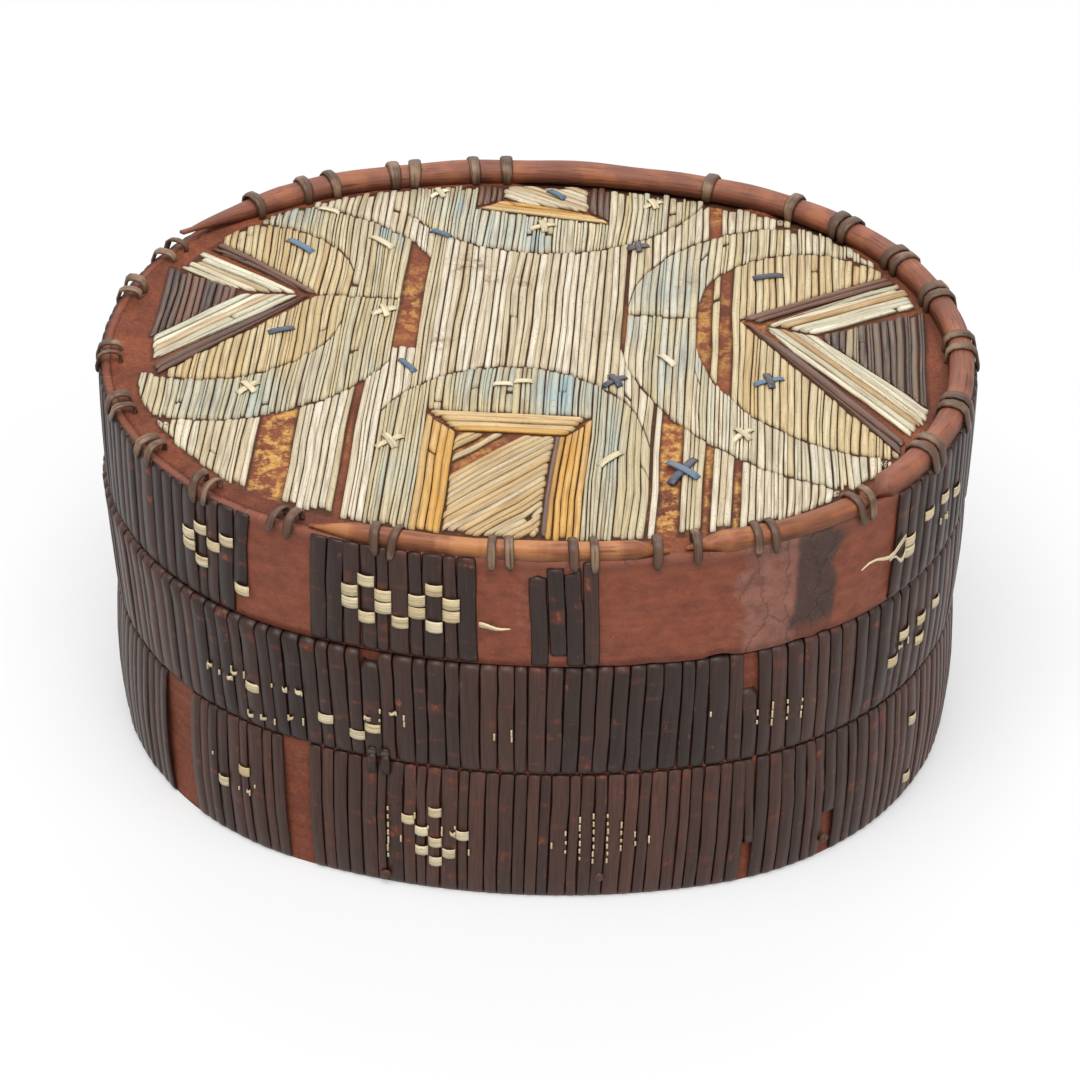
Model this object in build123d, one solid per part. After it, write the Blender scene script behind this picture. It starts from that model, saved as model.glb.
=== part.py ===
"""Oval bark box with a lift-off lid: two rings and a lid band wound with root strips, and a quilled top."""
import os
from collections import namedtuple
from math import atan2, cos, degrees, radians, sin, sqrt

from build123d import *

# Driving dimensions in millimetres. X runs along the box, Y to its back and Z up from the table.
LENGTH = 220.0                # over the lid's wound band
WIDTH = 176.0
SIDE_FLATNESS = 4.0           # how much smaller than the half width the radius of the round ends is
LOWER_RING_HEIGHT = 39.6
UPPER_RING_HEIGHT = 33.9
LID_BAND_HEIGHT = 31.2
NECK_TOP_CLEARANCE = 7.5      # air between the collar's top edge and the lid's disc

# Bark walls
HOOP_WALL = 2.2
COLLAR_WALL = 1.6
BAND_WALL = 2.0
DISC_THICKNESS = 1.4
BASE_THICKNESS = 2.4
LAP_WIDTH = 16.0              # where the collar's ends lap over each other, at the back
LAP_PLY = 1.2
LAP_STITCH_LENGTH = 6.0
LAP_STITCH_WIDTH = 1.4
LAP_STITCH_THICKNESS = 0.7
LAP_STITCH_START = 9.0        # lowest stitch above the table
LAP_STITCH_PITCH = 11.0

# Root strips
WRAP_THICKNESS = 0.9
WRAP_SHOULDER = 0.5           # bevel where a strip turns over the edge
STRIP_GAP = 0.25
LOWER_PITCH = 3.4
UPPER_PITCH = 4.0
LID_PITCH = 4.1

# Rim hoop, split from a rod and half round, lashed on the lid's edge
HOOP_WIDTH = 6.4
HOOP_RISE = 4.6
SPLINT_WIDTH = 4.2
RIGHT_SPLINT_WIDTH = 5.2
SPLINT_RISE = 3.6
CROWN_START = 0.55            # share of the rise where the sides turn in to the crown
LOOSE_RISE = 0.3              # air under a loop that holds nothing
LASH_WIDTH = 2.3
HOOP_LASH_WIDTH = 3.3
LASH_THICKNESS = 0.7
LASH_DROP = 4.5               # length of a lashing's leg down the outside of the band

# Quills
QUILL_PITCH = 1.78
QUILL_GAP = 0.16
QUILL_HEIGHT = 1.1
QUILL_SHORTEST = 1.6
GROOVE = 0.3                  # bare margin at both ends of a quill
QUILL_RIM_CLEARANCE = 0.4     # quill ends to the hoop's lashings
STITCH_WIDTH = 1.6
STITCH_HEIGHT = 0.6
CHECK_HEIGHT = 0.4            # woven quill squares on the strips
CHECK_GAP = 0.3               # between rows of squares
CHECK_MARGIN = 0.25           # bare edge of a strip beside a square
SLIVER_WIDTH = 0.6

# Fits
RING_GAP = 0.1                # between the two rings
LID_GAP = 0.3                 # between the upper ring and the lid's lower edge
LID_CLEARANCE = 1.3           # radial, between the collar and the lid band
LAYER_GAP = 0.1               # between bark layers
SEAT = 0.05                   # under strips, lashings and quills
DISC_SETBACK = 0.2            # the disc's face below the band's edge

# Plan oval: round ends joined by flatter long sides
HALF_LENGTH = LENGTH / 2
HALF_WIDTH = WIDTH / 2
END_RADIUS = HALF_WIDTH - SIDE_FLATNESS
END_CENTRE = HALF_LENGTH - END_RADIUS
SIDE_RADIUS = (END_CENTRE**2 + HALF_WIDTH**2 - END_RADIUS**2) / (2 * SIDE_FLATNESS)
SIDE_CENTRE = SIDE_RADIUS - HALF_WIDTH
JOIN_ANGLE = degrees(atan2(SIDE_CENTRE, END_CENTRE))
SIDE_RUN = SIDE_RADIUS * radians(90 - JOIN_ANGLE)
END_RUN = END_RADIUS * radians(2 * JOIN_ANGLE)
PERIMETER = 4 * SIDE_RUN + 2 * END_RUN

# Faces of the layers, as offsets from the plan oval
BAND_OUTER = -WRAP_THICKNESS - SEAT
BAND_INNER = BAND_OUTER - BAND_WALL
COLLAR_OUTER = BAND_INNER - LID_CLEARANCE
COLLAR_INNER = COLLAR_OUTER - COLLAR_WALL
HOOP_INNER = COLLAR_OUTER + LAYER_GAP
HOOP_OUTER = HOOP_INNER + HOOP_WALL
RING_FACE = HOOP_OUTER + SEAT + WRAP_THICKNESS
RIM_OUTER = BAND_OUTER
QUILL_INSET = HOOP_WIDTH + LASH_THICKNESS + SEAT + QUILL_RIM_CLEARANCE - RIM_OUTER

# Heights
UPPER_BOTTOM = LOWER_RING_HEIGHT + RING_GAP
UPPER_TOP = UPPER_BOTTOM + UPPER_RING_HEIGHT
UPPER_HOOP_TOP = UPPER_TOP - WRAP_THICKNESS - SEAT
LID_BOTTOM = UPPER_TOP + LID_GAP
LID_TOP = LID_BOTTOM + LID_BAND_HEIGHT
DISC_TOP = LID_TOP - DISC_SETBACK
DISC_BOTTOM = DISC_TOP - DISC_THICKNESS
COLLAR_TOP = DISC_BOTTOM - NECK_TOP_CLEARANCE
QUILL_TOP = DISC_TOP + SEAT + QUILL_HEIGHT
RIM_BOTTOM = LID_TOP + SEAT

# Arc lengths are measured along the plan oval from the middle of the front, to the right and on round.
FRONT_SPLINT_START = -50.0
FRONT_SPLINT_END = 37.0
SPLINT_GAP = 4.0
RIGHT_SPLINT_END = 93.0
HOOP_GAP = 1.0
BARE_RIM = 154.0              # stretch at the left where the hoop is lost
FRONT_SPLINT_SPAN = (FRONT_SPLINT_START, FRONT_SPLINT_END)
RIGHT_SPLINT_SPAN = (FRONT_SPLINT_END + SPLINT_GAP, RIGHT_SPLINT_END)
HOOP_SPAN = (RIGHT_SPLINT_END + HOOP_GAP, PERIMETER + FRONT_SPLINT_START - BARE_RIM)
BARE_SPAN = (HOOP_SPAN[1], PERIMETER + FRONT_SPLINT_START)
# Where the lashings sit, as shares of the piece that they hold
HOOP_LASHINGS = (0.06, 0.072, 0.122, 0.134, 0.203, 0.221, 0.281, 0.293, 0.34, 0.352, 0.406, 0.418, 0.463,
                 0.537, 0.707, 0.734, 0.782, 0.8, 0.854, 0.878, 0.925)
RIGHT_SPLINT_LASHINGS = (0.045, 0.33, 0.41, 0.865, 0.945)
FRONT_SPLINT_LASHINGS = (0.195, 0.253, 0.517, 0.563, 0.736, 0.793, 0.965)
LOOSE_LASHINGS = (0.02, 0.058, 0.162, 0.188, 0.356, 0.389, 0.518, 0.544, 0.648, 0.674, 0.79, 0.816,
                  0.945, 0.975)
LID_BARE = ((-66.5, -49.0), (-8.5, 3.5), (19.5, 98.5))
LOWER_BARE = ((-100.0, -88.5), (-57.0, -52.5))
TIE_SPOTS = (-34.6, -31.2)
TIE_HALF_LENGTH = 4.2
KNOTS = ((-31.6, 3.5), (22.0, 7.5), (82.0, 6.5))
KNOT_SIZE = 2.4

# Woven quill squares: first arc length, top edge above the ring's foot, row height and rows of filled squares
Checks = namedtuple("Checks", "start top row rows")
LID_CHECKS = (
    Checks(-41.0, 23.1, 3.6, (".x...x.", "x.x.x.x", "x.x.x.x", ".x.x.x.")),
    Checks(-86.1, 23.1, 3.2, (".x.x.", "x.x..", "x....", ".x...", "....x")),
    Checks(102.5, 20.1, 3.2, ("..x.x..", "x.....x", "x...x..")),
)
UPPER_CHECKS = (
    Checks(-80.2, 17.8, 3.0, ("..x..xx..", "xx.x.....", "........x", "......x..", "...xx....")),
    Checks(-40.1, 17.8, 3.0, ("..x", ".x.", ".x.", "x..")),
    Checks(100.2, 21.1, 3.2, (".x.x.x", ".x....", "x..x..")),
)
LOWER_CHECKS = (
    Checks(-27.2, 28.0, 3.2, ("..x..", "x....", ".x.xx", "..x..", ".x.x.", "..x..")),
    Checks(-78.3, 26.3, 3.2, ("..x.", "....", "x.x.")),
    Checks(112.4, 28.6, 3.2, ("x", ".", ".", ".", ".", ".", "x")),
)
# Slivers of quill that show in the joints between strips: arc length, lower end and upper end
UPPER_SLIVERS = ((-4.0, 11, 14), (0.0, 11, 15), (48.1, 16, 19), (60.1, 11, 17), (64.1, 10, 18),
                 (68.2, 10, 18), (72.2, 10, 17))
LOWER_SLIVERS = ((-30.6, 9, 27), (10.2, 17, 20), (13.6, 15, 24), (17.0, 13, 28), (20.4, 12, 29),
                 (23.8, 12, 29), (27.2, 16, 26), (30.6, 17, 23), (34.1, 18, 21))
# Loose quill ends on the lid band: arc length, height, length, turn in degrees and the face they lie on
LID_TAILS = ((-4.1, 11.7, 7.4, -7.0, BAND_OUTER), (94.0, 16.6, 15.0, 6.0, 0.0),
             (99.5, 13.1, 6.0, -10.0, 0.0))

# Lid pattern, drawn for a lid 220 by 176 and laid in proportion on another. Four fans hang on the sides.
STRETCH_X = LENGTH / 220
STRETCH_Y = WIDTH / 176
Arc = namedtuple("Arc", "x y radius")
LEFT_UPPER_OUTER = Arc(-70.0, 18.0, 45.5)
LEFT_UPPER_INNER = Arc(-77.0, 25.5, 28.0)
LEFT_LOWER_OUTER = Arc(-84.0, 16.0, 53.0)
LEFT_LOWER_INNER = Arc(-85.0, 16.0, 35.5)
RIGHT_UPPER_OUTER = Arc(65.0, 19.5, 43.5)
RIGHT_UPPER_INNER = Arc(68.0, 22.0, 28.5)
RIGHT_LOWER_OUTER = Arc(92.0, 18.0, 73.0)
RIGHT_LOWER_INNER = Arc(92.0, 13.0, 53.0)
FRONT_OUTER = Arc(-4.5, -42.0, 34.3)
BACK_OUTER = Arc(-3.0, 92.5, 47.0)
BACK_FAN_SPAN = (-39.0, 41.0)
LEFT_SEAM = 21.2              # level where a fan's upper and lower quills meet
RIGHT_SEAM = 18.2
LEFT_EDGE_UPPER = ((-57.5, LEFT_SEAM + 0.5), (-86.5, 44.0))
LEFT_EDGE_LOWER = ((-57.5, LEFT_SEAM - 0.5), (-93.5, -18.5))
RIGHT_EDGE_UPPER = ((50.5, RIGHT_SEAM + 0.4), (88.0, 41.5))
RIGHT_EDGE_LOWER = ((50.5, RIGHT_SEAM - 1.0), (88.0, -35.0))
FIELD_LEFT = -97.5
FIELD_RIGHT = 97.0
LEFT_STRIPE = (-36.5, -30.5)
LEFT_RING_EDGE = -50.0
FRAME_LEFT = -25.5
FRAME_RIGHT = 15.0
PANEL_LEFT = -17.6
PANEL_RIGHT = 6.0
FRAME_DARK = 8.6
BACK_FRAME = (-21.0, -14.3, 9.3, 14.5)

# Cross stitches laid over the quills: x, y, turn in degrees and length of each bar
BLUE_STITCHES = ((-65, 43, -38, 9), (-65, 3, 22, 7), (-29, 52, -25, 6), (-32, -10, -50, 7), (57, 38, 15, 8),
                 (0, 74, -40, 6))
BLUE_CROSSES = ((23, 49.5, 20, 6), (20, -13, 40, 7), (58, -10, 25, 8), (38, -49.5, 62, 12))
IVORY_STITCHES = ((-59.5, 61, -20, 6), (-44, 46.5, -40, 8), (-7.5, -16.5, 4, 5), (-2.5, -15, 4, 5),
                  (20.5, -46, 50, 8), (32.5, -2.5, -50, 6))
IVORY_CROSSES = ((-40, 14, 30, 7), (-70, -23, 50, 7), (-33, -43, 40, 8), (-2.5, 57.5, 25, 7),
                 (-31, 72, 40, 6), (26, 71, 35, 6), (52, -33.5, 50, 7))


def spot(distance):
    """Centre, radius and outward angle of the plan oval at an arc length from the front middle."""
    distance = distance % PERIMETER
    if distance > PERIMETER - SIDE_RUN:
        distance -= PERIMETER
    if distance < SIDE_RUN:
        return 0, SIDE_CENTRE, SIDE_RADIUS, -90 + degrees(distance / SIDE_RADIUS)
    distance -= SIDE_RUN
    if distance < END_RUN:
        return END_CENTRE, 0, END_RADIUS, -JOIN_ANGLE + degrees(distance / END_RADIUS)
    distance -= END_RUN
    if distance < 2 * SIDE_RUN:
        return 0, -SIDE_CENTRE, SIDE_RADIUS, JOIN_ANGLE + degrees(distance / SIDE_RADIUS)
    distance -= 2 * SIDE_RUN
    return -END_CENTRE, 0, END_RADIUS, 180 - JOIN_ANGLE + degrees(distance / END_RADIUS)


def place(shape, distance):
    """A copy of a shape made at the origin with X outwards, moved to an arc length on the plan oval."""
    x, y, radius, angle = spot(distance)
    return Pos(x + radius * cos(radians(angle)), y + radius * sin(radians(angle))) * Rot(0, 0, angle) * shape


def oval_face(offset):
    """The plan oval grown by an offset."""
    end, side = END_RADIUS + offset, SIDE_RADIUS + offset
    span, flat = 2 * JOIN_ANGLE, 180 - 2 * JOIN_ANGLE
    return make_face([
        CenterArc((END_CENTRE, 0), end, -JOIN_ANGLE, span),
        CenterArc((0, -SIDE_CENTRE), side, JOIN_ANGLE, flat),
        CenterArc((-END_CENTRE, 0), end, 180 - JOIN_ANGLE, span),
        CenterArc((0, SIDE_CENTRE), side, 180 + JOIN_ANGLE, flat),
    ])


def oval_plate(offset, bottom, top):
    return Pos(0, 0, bottom) * extrude(oval_face(offset), top - bottom)


def oval_ring(outer, inner, bottom, top):
    return oval_plate(outer, bottom, top) - oval_plate(inner, bottom, top)


def edge_y(x, inset):
    """Half depth of the plan oval at x, taken in by an inset; zero beyond its ends."""
    end, side = END_RADIUS - inset, SIDE_RADIUS - inset
    if abs(x) < END_CENTRE + end * cos(radians(JOIN_ANGLE)):
        return sqrt(side**2 - x**2) - SIDE_CENTRE
    return sqrt(max(end**2 - (abs(x) - END_CENTRE) ** 2, 0))


def upright(outline, width):
    """A prism from an outline in the outward-and-up plane, centred on its width."""
    face = make_face(Polyline(*[(x, 0, z) for x, z in outline], close=True))
    return extrude(face, width / 2, dir=(0, 1, 0), both=True)


def strip_outline(inner, bottom, top):
    """Section of a root strip: flat against the hoop, bevelled where it turns over both edges."""
    outer = inner + WRAP_THICKNESS
    return [(inner, bottom), (outer, bottom + WRAP_SHOULDER), (outer, top - WRAP_SHOULDER), (inner, top)]


def turned_outline(inner, bottom, top, depth):
    """Section of a strip that goes on over the hoop's top edge."""
    outer = inner + WRAP_THICKNESS
    return [(inner, bottom), (outer, bottom + WRAP_SHOULDER), (outer, top - WRAP_SHOULDER),
            (inner - depth, top), (inner, top - WRAP_THICKNESS)]


def in_spans(value, spans):
    return any(low < value < high for low, high in spans)


def winding(outline, pitch, bare=()):
    """Strips side by side all round the oval, left out where the bark is bare."""
    count = round(PERIMETER / pitch)
    step = PERIMETER / count
    strip = upright(outline, step - STRIP_GAP)
    stops = [(i + 0.5) * step - PERIMETER / 2 for i in range(count)]
    return Compound([place(strip, stop) for stop in stops if not in_spans(stop, bare)])


def bar_on_ring(face, distance, low, high, width):
    """A flat bar on a wound face, from a lower to an upper height."""
    inner = face + SEAT
    outer = inner + CHECK_HEIGHT
    return place(upright([(inner, low), (outer, low), (outer, high), (inner, high)], width), distance)


def woven_checks(groups, pitch, face, bottom):
    """Quill squares woven over single strips."""
    squares = []
    for group in groups:
        for row, marks in enumerate(group.rows):
            top = bottom + group.top - row * group.row
            for column, mark in enumerate(marks):
                if mark == "x":
                    distance = group.start + (column + 0.5) * pitch
                    low = top - group.row + CHECK_GAP
                    squares.append(bar_on_ring(face, distance, low, top, pitch - 2 * CHECK_MARGIN))
    return squares


def slivers(spots, face, bottom):
    bars = []
    for distance, low, high in spots:
        bars.append(bar_on_ring(face, distance, bottom + low, bottom + high, SLIVER_WIDTH))
    return bars


def loose_tails(spots):
    """Quill ends that have come out of the winding and lie on the band."""
    tails = []
    for distance, height, length, turn, face in spots:
        bar = Rot(turn, 0, 0) * Box(CHECK_HEIGHT, length, QUILL_PITCH - 2 * QUILL_GAP)
        tails.append(place(Pos(face + SEAT + CHECK_HEIGHT / 2, 0, LID_BOTTOM + height) * bar, distance))
    return tails


def lower_quill_checks():
    squares = woven_checks(LOWER_CHECKS, LOWER_PITCH, RING_FACE, 0)
    return Compound(squares + slivers(LOWER_SLIVERS, RING_FACE, 0))


def upper_quill_checks():
    squares = woven_checks(UPPER_CHECKS, UPPER_PITCH, RING_FACE, UPPER_BOTTOM)
    return Compound(squares + slivers(UPPER_SLIVERS, RING_FACE, UPPER_BOTTOM))


def lid_quill_checks():
    return Compound(woven_checks(LID_CHECKS, LID_PITCH, 0, LID_BOTTOM) + loose_tails(LID_TAILS))


def swept(outline, span):
    """A section in the outward-and-up plane carried along the plan oval between two arc lengths."""
    face = make_face(outline)
    joints = [SIDE_RUN, SIDE_RUN + END_RUN, 3 * SIDE_RUN + END_RUN, PERIMETER - SIDE_RUN]
    stops = [span[0]] + [joint for joint in joints if span[0] < joint < span[1]] + [span[1]]
    result = None
    for start, stop in zip(stops, stops[1:]):
        x, y, radius, _ = spot((start + stop) / 2)
        turn = degrees((stop - start) / radius)
        angle = spot(start + 1e-6)[3]
        local = Pos(radius, 0, 0) * face
        piece = revolve(local, Axis.Z, turn)
        piece = Pos(x, y) * Rot(0, 0, angle) * piece
        result = piece if result is None else result + piece
    return result


def half_round(width, rise):
    """Flat-bottomed, round-topped section in flats, with its outer edge on the band's outer face."""
    outer, inner = RIM_OUTER, RIM_OUTER - width
    shoulder = RIM_BOTTOM + rise * CROWN_START
    crown = RIM_BOTTOM + rise
    quarter = width / 4
    corners = [(inner, RIM_BOTTOM), (outer, RIM_BOTTOM), (outer, shoulder), (outer - quarter, crown),
               (inner + quarter, crown), (inner, shoulder)]
    return Polyline(*[(x, 0, z) for x, z in corners], close=True)


def lashing_outline(width, rise):
    """A root strap that hugs a half-round rim: long leg outside the band, short leg to the lid's disc."""
    quarter = width / 4
    outer, inner = SEAT, RIM_OUTER - width - SEAT
    shoulder = RIM_BOTTOM + rise * CROWN_START + SEAT
    crown = RIM_BOTTOM + rise + SEAT
    foot = DISC_TOP + SEAT
    under = [(outer, LID_TOP - LASH_DROP), (outer, shoulder), (outer - quarter, crown),
             (inner + quarter, crown), (inner, shoulder), (inner, foot)]
    legs_out, top = LASH_THICKNESS, crown + LASH_THICKNESS
    over = [(inner - legs_out, foot), (inner - legs_out, shoulder), (inner + quarter, top),
            (outer - quarter, top), (outer + legs_out, shoulder), (outer + legs_out, LID_TOP - LASH_DROP)]
    return under + over


def loop_outline(width):
    """A root loop that lies flat over the band's edge, with the same two legs."""
    outer, inner = SEAT, RIM_OUTER - width - SEAT
    under = RIM_BOTTOM + LOOSE_RISE + SEAT
    low, foot, top = LID_TOP - LASH_DROP, DISC_TOP + SEAT, under + LASH_THICKNESS
    return [(outer, low), (outer + LASH_THICKNESS, low), (outer + LASH_THICKNESS, top),
            (inner - LASH_THICKNESS, top), (inner - LASH_THICKNESS, foot), (inner, foot), (inner, under),
            (outer, under)]


def lashed(span, shares, outline, width):
    """Straps of an outline and width, at shares of a span."""
    strap = upright(outline, width)
    return [place(strap, span[0] + share * (span[1] - span[0])) for share in shares]


def rim_lashings():
    """Straps round the hoop and the splints, each as large as what it holds."""
    straps = lashed(HOOP_SPAN, HOOP_LASHINGS, lashing_outline(HOOP_WIDTH, HOOP_RISE), HOOP_LASH_WIDTH)
    right = lashing_outline(RIGHT_SPLINT_WIDTH, SPLINT_RISE)
    front = lashing_outline(SPLINT_WIDTH, SPLINT_RISE)
    straps += lashed(RIGHT_SPLINT_SPAN, RIGHT_SPLINT_LASHINGS, right, LASH_WIDTH)
    straps += lashed(FRONT_SPLINT_SPAN, FRONT_SPLINT_LASHINGS, front, LASH_WIDTH)
    return Compound(straps)


def loose_lashings():
    """Loops left over the bare rim where the hoop is lost."""
    return Compound(lashed(BARE_SPAN, LOOSE_LASHINGS, loop_outline(SPLINT_WIDTH), LASH_WIDTH))


def over(arc):
    return lambda x: arc.y + sqrt(max(arc.radius**2 - (x - arc.x) ** 2, 0))


def under(arc):
    return lambda x: arc.y - sqrt(max(arc.radius**2 - (x - arc.x) ** 2, 0))


def level(y):
    return lambda x: y


def line(start, end):
    return lambda x: start[1] + (x - start[0]) * (end[1] - start[1]) / (end[0] - start[0])


def lowest(*curves):
    return lambda x: min(curve(x) for curve in curves)


def highest(*curves):
    return lambda x: max(curve(x) for curve in curves)


def back_edge(x):
    return edge_y(x * STRETCH_X, QUILL_INSET) / STRETCH_Y


def front_edge(x):
    return -back_edge(x)


def laid(x, y, z):
    """A point of the drawn pattern, laid on the lid."""
    return x * STRETCH_X, y * STRETCH_Y, z


def between(start, end):
    return (start[0] + end[0]) / 2, (start[1] + end[1]) / 2


def quill(start, end):
    """One quill on the lid's disc, as a low ridge between its two cut ends, each a pair of corners."""
    low = DISC_TOP + SEAT
    a, b = [laid(*corner, low) for corner in start]
    c, d = [laid(*corner, low) for corner in end]
    near = laid(*between(*start), low + QUILL_HEIGHT)
    far = laid(*between(*end), low + QUILL_HEIGHT)
    sides = ((b, a, c, d), (a, b, near), (d, c, far), (a, near, far, c), (b, d, far, near))
    return Solid(Shell([Face(Wire.make_polygon([Vector(*point) for point in side])) for side in sides]))


def upright_quills(left, right, low, high, bare=()):
    """Quills that run front to back, side by side from left to right between two curves."""
    count = max(1, round((right - left) * STRETCH_X / QUILL_PITCH))
    step = (right - left) / count
    quills = []
    for i in range(count):
        a = left + i * step + QUILL_GAP / 2
        b = a + step - QUILL_GAP
        lows = low(a) + GROOVE, low(b) + GROOVE
        highs = high(a) - GROOVE, high(b) - GROOVE
        if min(highs[0] - lows[0], highs[1] - lows[1]) < QUILL_SHORTEST or in_spans((a + b) / 2, bare):
            continue
        quills.append(quill(((a, lows[0]), (b, lows[1])), ((a, highs[0]), (b, highs[1]))))
    return quills


def held(x, y):
    """A corner of a field, kept inside the rim."""
    return x, min(max(y, front_edge(x)), back_edge(x))


def crossing(corners, v):
    """Where a level line crosses a convex outline, as its lowest and highest u."""
    hits = []
    for (u0, v0), (u1, v1) in zip(corners, corners[1:] + corners[:1]):
        if min(v0, v1) <= v <= max(v0, v1) and v0 != v1:
            hits.append(u0 + (u1 - u0) * (v - v0) / (v1 - v0))
    return (min(hits), max(hits)) if len(hits) > 1 else (0, 0)


def turned_quills(corners, angle, bare=()):
    """Quills at an angle that fill a convex outline; bare names the rows left out."""
    c, s = cos(radians(angle)), sin(radians(angle))
    local = [(x * c + y * s, y * c - x * s) for x, y in [held(*corner) for corner in corners]]
    base = min(v for _, v in local)
    depth = max(v for _, v in local) - base
    count = max(1, round(depth / QUILL_PITCH))
    step = depth / count
    quills = []
    for i in range(count):
        a = base + i * step + QUILL_GAP / 2
        b = a + step - QUILL_GAP
        ends = crossing(local, a), crossing(local, b)
        if min(end[1] - end[0] for end in ends) < QUILL_SHORTEST + 2 * GROOVE or i in bare:
            continue
        (a0, a1), (b0, b1) = ends
        outline = [(a0 + GROOVE, a), (b0 + GROOVE, b), (a1 - GROOVE, a), (b1 - GROOVE, b)]
        corners = [(u * c - v * s, u * s + v * c) for u, v in outline]
        quills.append(quill(corners[:2], corners[2:]))
    return quills


def centre_field():
    """Ivory star between the four fans, with its two front points."""
    left, right = LEFT_STRIPE[1], RIGHT_UPPER_OUTER.x - RIGHT_UPPER_OUTER.radius - 1.0
    middle = upright_quills(left, right, over(FRONT_OUTER), under(BACK_OUTER))
    left_point = upright_quills(LEFT_STRIPE[0], left, over(FRONT_OUTER), level(-1.0))
    end = FRONT_OUTER.x + FRONT_OUTER.radius
    right_point = upright_quills(right, end, over(FRONT_OUTER), under(RIGHT_LOWER_OUTER))
    return middle + left_point + right_point


def back_left_field():
    roof = lowest(back_edge, under(BACK_OUTER))
    outside = upright_quills(FIELD_LEFT, BACK_FAN_SPAN[0], over(LEFT_UPPER_OUTER), back_edge)
    inside = upright_quills(BACK_FAN_SPAN[0], LEFT_STRIPE[1], over(LEFT_UPPER_OUTER), roof)
    return outside + inside


def back_right_field():
    roof = lowest(back_edge, under(BACK_OUTER))
    start = RIGHT_UPPER_OUTER.x - RIGHT_UPPER_OUTER.radius
    split = BACK_FAN_SPAN[1]
    inside = upright_quills(start, split, over(RIGHT_UPPER_OUTER), roof)
    outside = upright_quills(split, FIELD_RIGHT, over(RIGHT_UPPER_OUTER), back_edge, ((split, split + 4.0),))
    return inside + outside


def front_left_field():
    bare = ((-65.5, -56.5), (-43.5, -41.5))
    return upright_quills(FIELD_LEFT, LEFT_STRIPE[0], front_edge, under(LEFT_LOWER_OUTER), bare)


def front_right_field():
    bare = ((31.5, 38.0), (43.8, 45.4), (49.6, 52.6))
    start = FRONT_OUTER.x + FRONT_OUTER.radius + 0.8
    return upright_quills(start, FIELD_RIGHT, front_edge, under(RIGHT_LOWER_OUTER), bare)


def left_fan_outer():
    roof = lowest(over(LEFT_UPPER_OUTER), back_edge)
    floor = highest(under(LEFT_LOWER_OUTER), front_edge)
    edge, stop = LEFT_RING_EDGE, LEFT_STRIPE[0]
    upper = upright_quills(FIELD_LEFT, edge, over(LEFT_UPPER_INNER), roof)
    upper += upright_quills(edge, stop, level(LEFT_SEAM), roof)
    lower = upright_quills(FIELD_LEFT, edge, floor, under(LEFT_LOWER_INNER))
    lower += upright_quills(edge, stop, floor, level(LEFT_SEAM))
    return upper + lower


def left_fan_inner():
    tip = LEFT_EDGE_UPPER[0][0] + GROOVE
    roof = lowest(over(LEFT_UPPER_INNER), back_edge)
    floor = highest(under(LEFT_LOWER_INNER), front_edge)
    upper = upright_quills(FIELD_LEFT, tip, line(*LEFT_EDGE_UPPER), roof)
    lower = upright_quills(FIELD_LEFT, tip, floor, line(*LEFT_EDGE_LOWER))
    ends = upright_quills(tip, LEFT_RING_EDGE, level(LEFT_SEAM), roof)
    ends += upright_quills(tip, LEFT_RING_EDGE, floor, level(LEFT_SEAM))
    return upper + lower + ends


def left_chevron():
    upper = turned_quills([(-63.0, 21.6), (-88.8, 40.3), (-95.5, 31.0), (-76.0, 21.4)], -33)
    lower = turned_quills([(-62.6, 20.8), (-76.5, 20.0), (-97.0, -2.0), (-95.3, -13.8)], 47)
    return upper + lower


def left_chevron_edges():
    upper = turned_quills([*LEFT_EDGE_UPPER, (-88.5, 40.9), (-62.5, 21.7)], -37.5)
    lower = turned_quills([*LEFT_EDGE_LOWER, (-95.0, -14.5), (-62.0, 20.7)], 47)
    return upper + lower


def left_core():
    low = line((-97.0, -1.4), (-76.5, 20.4))
    high = line((-95.5, 30.4), (-76.0, 20.9))
    return upright_quills(FIELD_LEFT, -77.0, low, high)


def right_fan_outer():
    roof = lowest(over(RIGHT_UPPER_OUTER), back_edge)
    floor = highest(under(RIGHT_LOWER_OUTER), front_edge)
    start = RIGHT_UPPER_OUTER.x - RIGHT_UPPER_OUTER.radius
    edge = RIGHT_UPPER_INNER.x - RIGHT_UPPER_INNER.radius
    upper = upright_quills(start, edge, level(RIGHT_SEAM), roof)
    upper += upright_quills(edge, FIELD_RIGHT, over(RIGHT_UPPER_INNER), roof)
    lower = upright_quills(start, edge, floor, level(RIGHT_SEAM))
    lower += upright_quills(edge, FIELD_RIGHT, floor, under(RIGHT_LOWER_INNER))
    return upper + lower


def right_fan_inner():
    tip = RIGHT_EDGE_UPPER[0][0] - GROOVE
    roof = lowest(over(RIGHT_UPPER_INNER), back_edge)
    floor = highest(under(RIGHT_LOWER_INNER), front_edge)
    bare = ((39.0, 43.4), (45.2, 48.4))
    upper = upright_quills(tip, FIELD_RIGHT, line(*RIGHT_EDGE_UPPER), roof)
    lower = upright_quills(tip, FIELD_RIGHT, floor, line(*RIGHT_EDGE_LOWER))
    ends = upright_quills(RIGHT_UPPER_INNER.x - RIGHT_UPPER_INNER.radius + 0.6, tip, floor, roof, bare)
    return upper + lower + ends


def right_chevron():
    upper = turned_quills([(55.5, 17.0), (90.0, 37.6), (96.0, 26.0), (70.0, 12.9)], 30)
    lower = turned_quills([(55.0, 15.9), (69.5, 12.2), (94.5, -15.5), (91.0, -30.8)], -50)
    return upper + lower


def right_chevron_edges():
    upper = turned_quills([*RIGHT_EDGE_UPPER, (89.5, 38.3), (55.0, 17.3)], 31.4)
    lower = turned_quills([*RIGHT_EDGE_LOWER, (90.5, -31.5), (54.5, 16.1)], -53)
    return upper + lower


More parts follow.
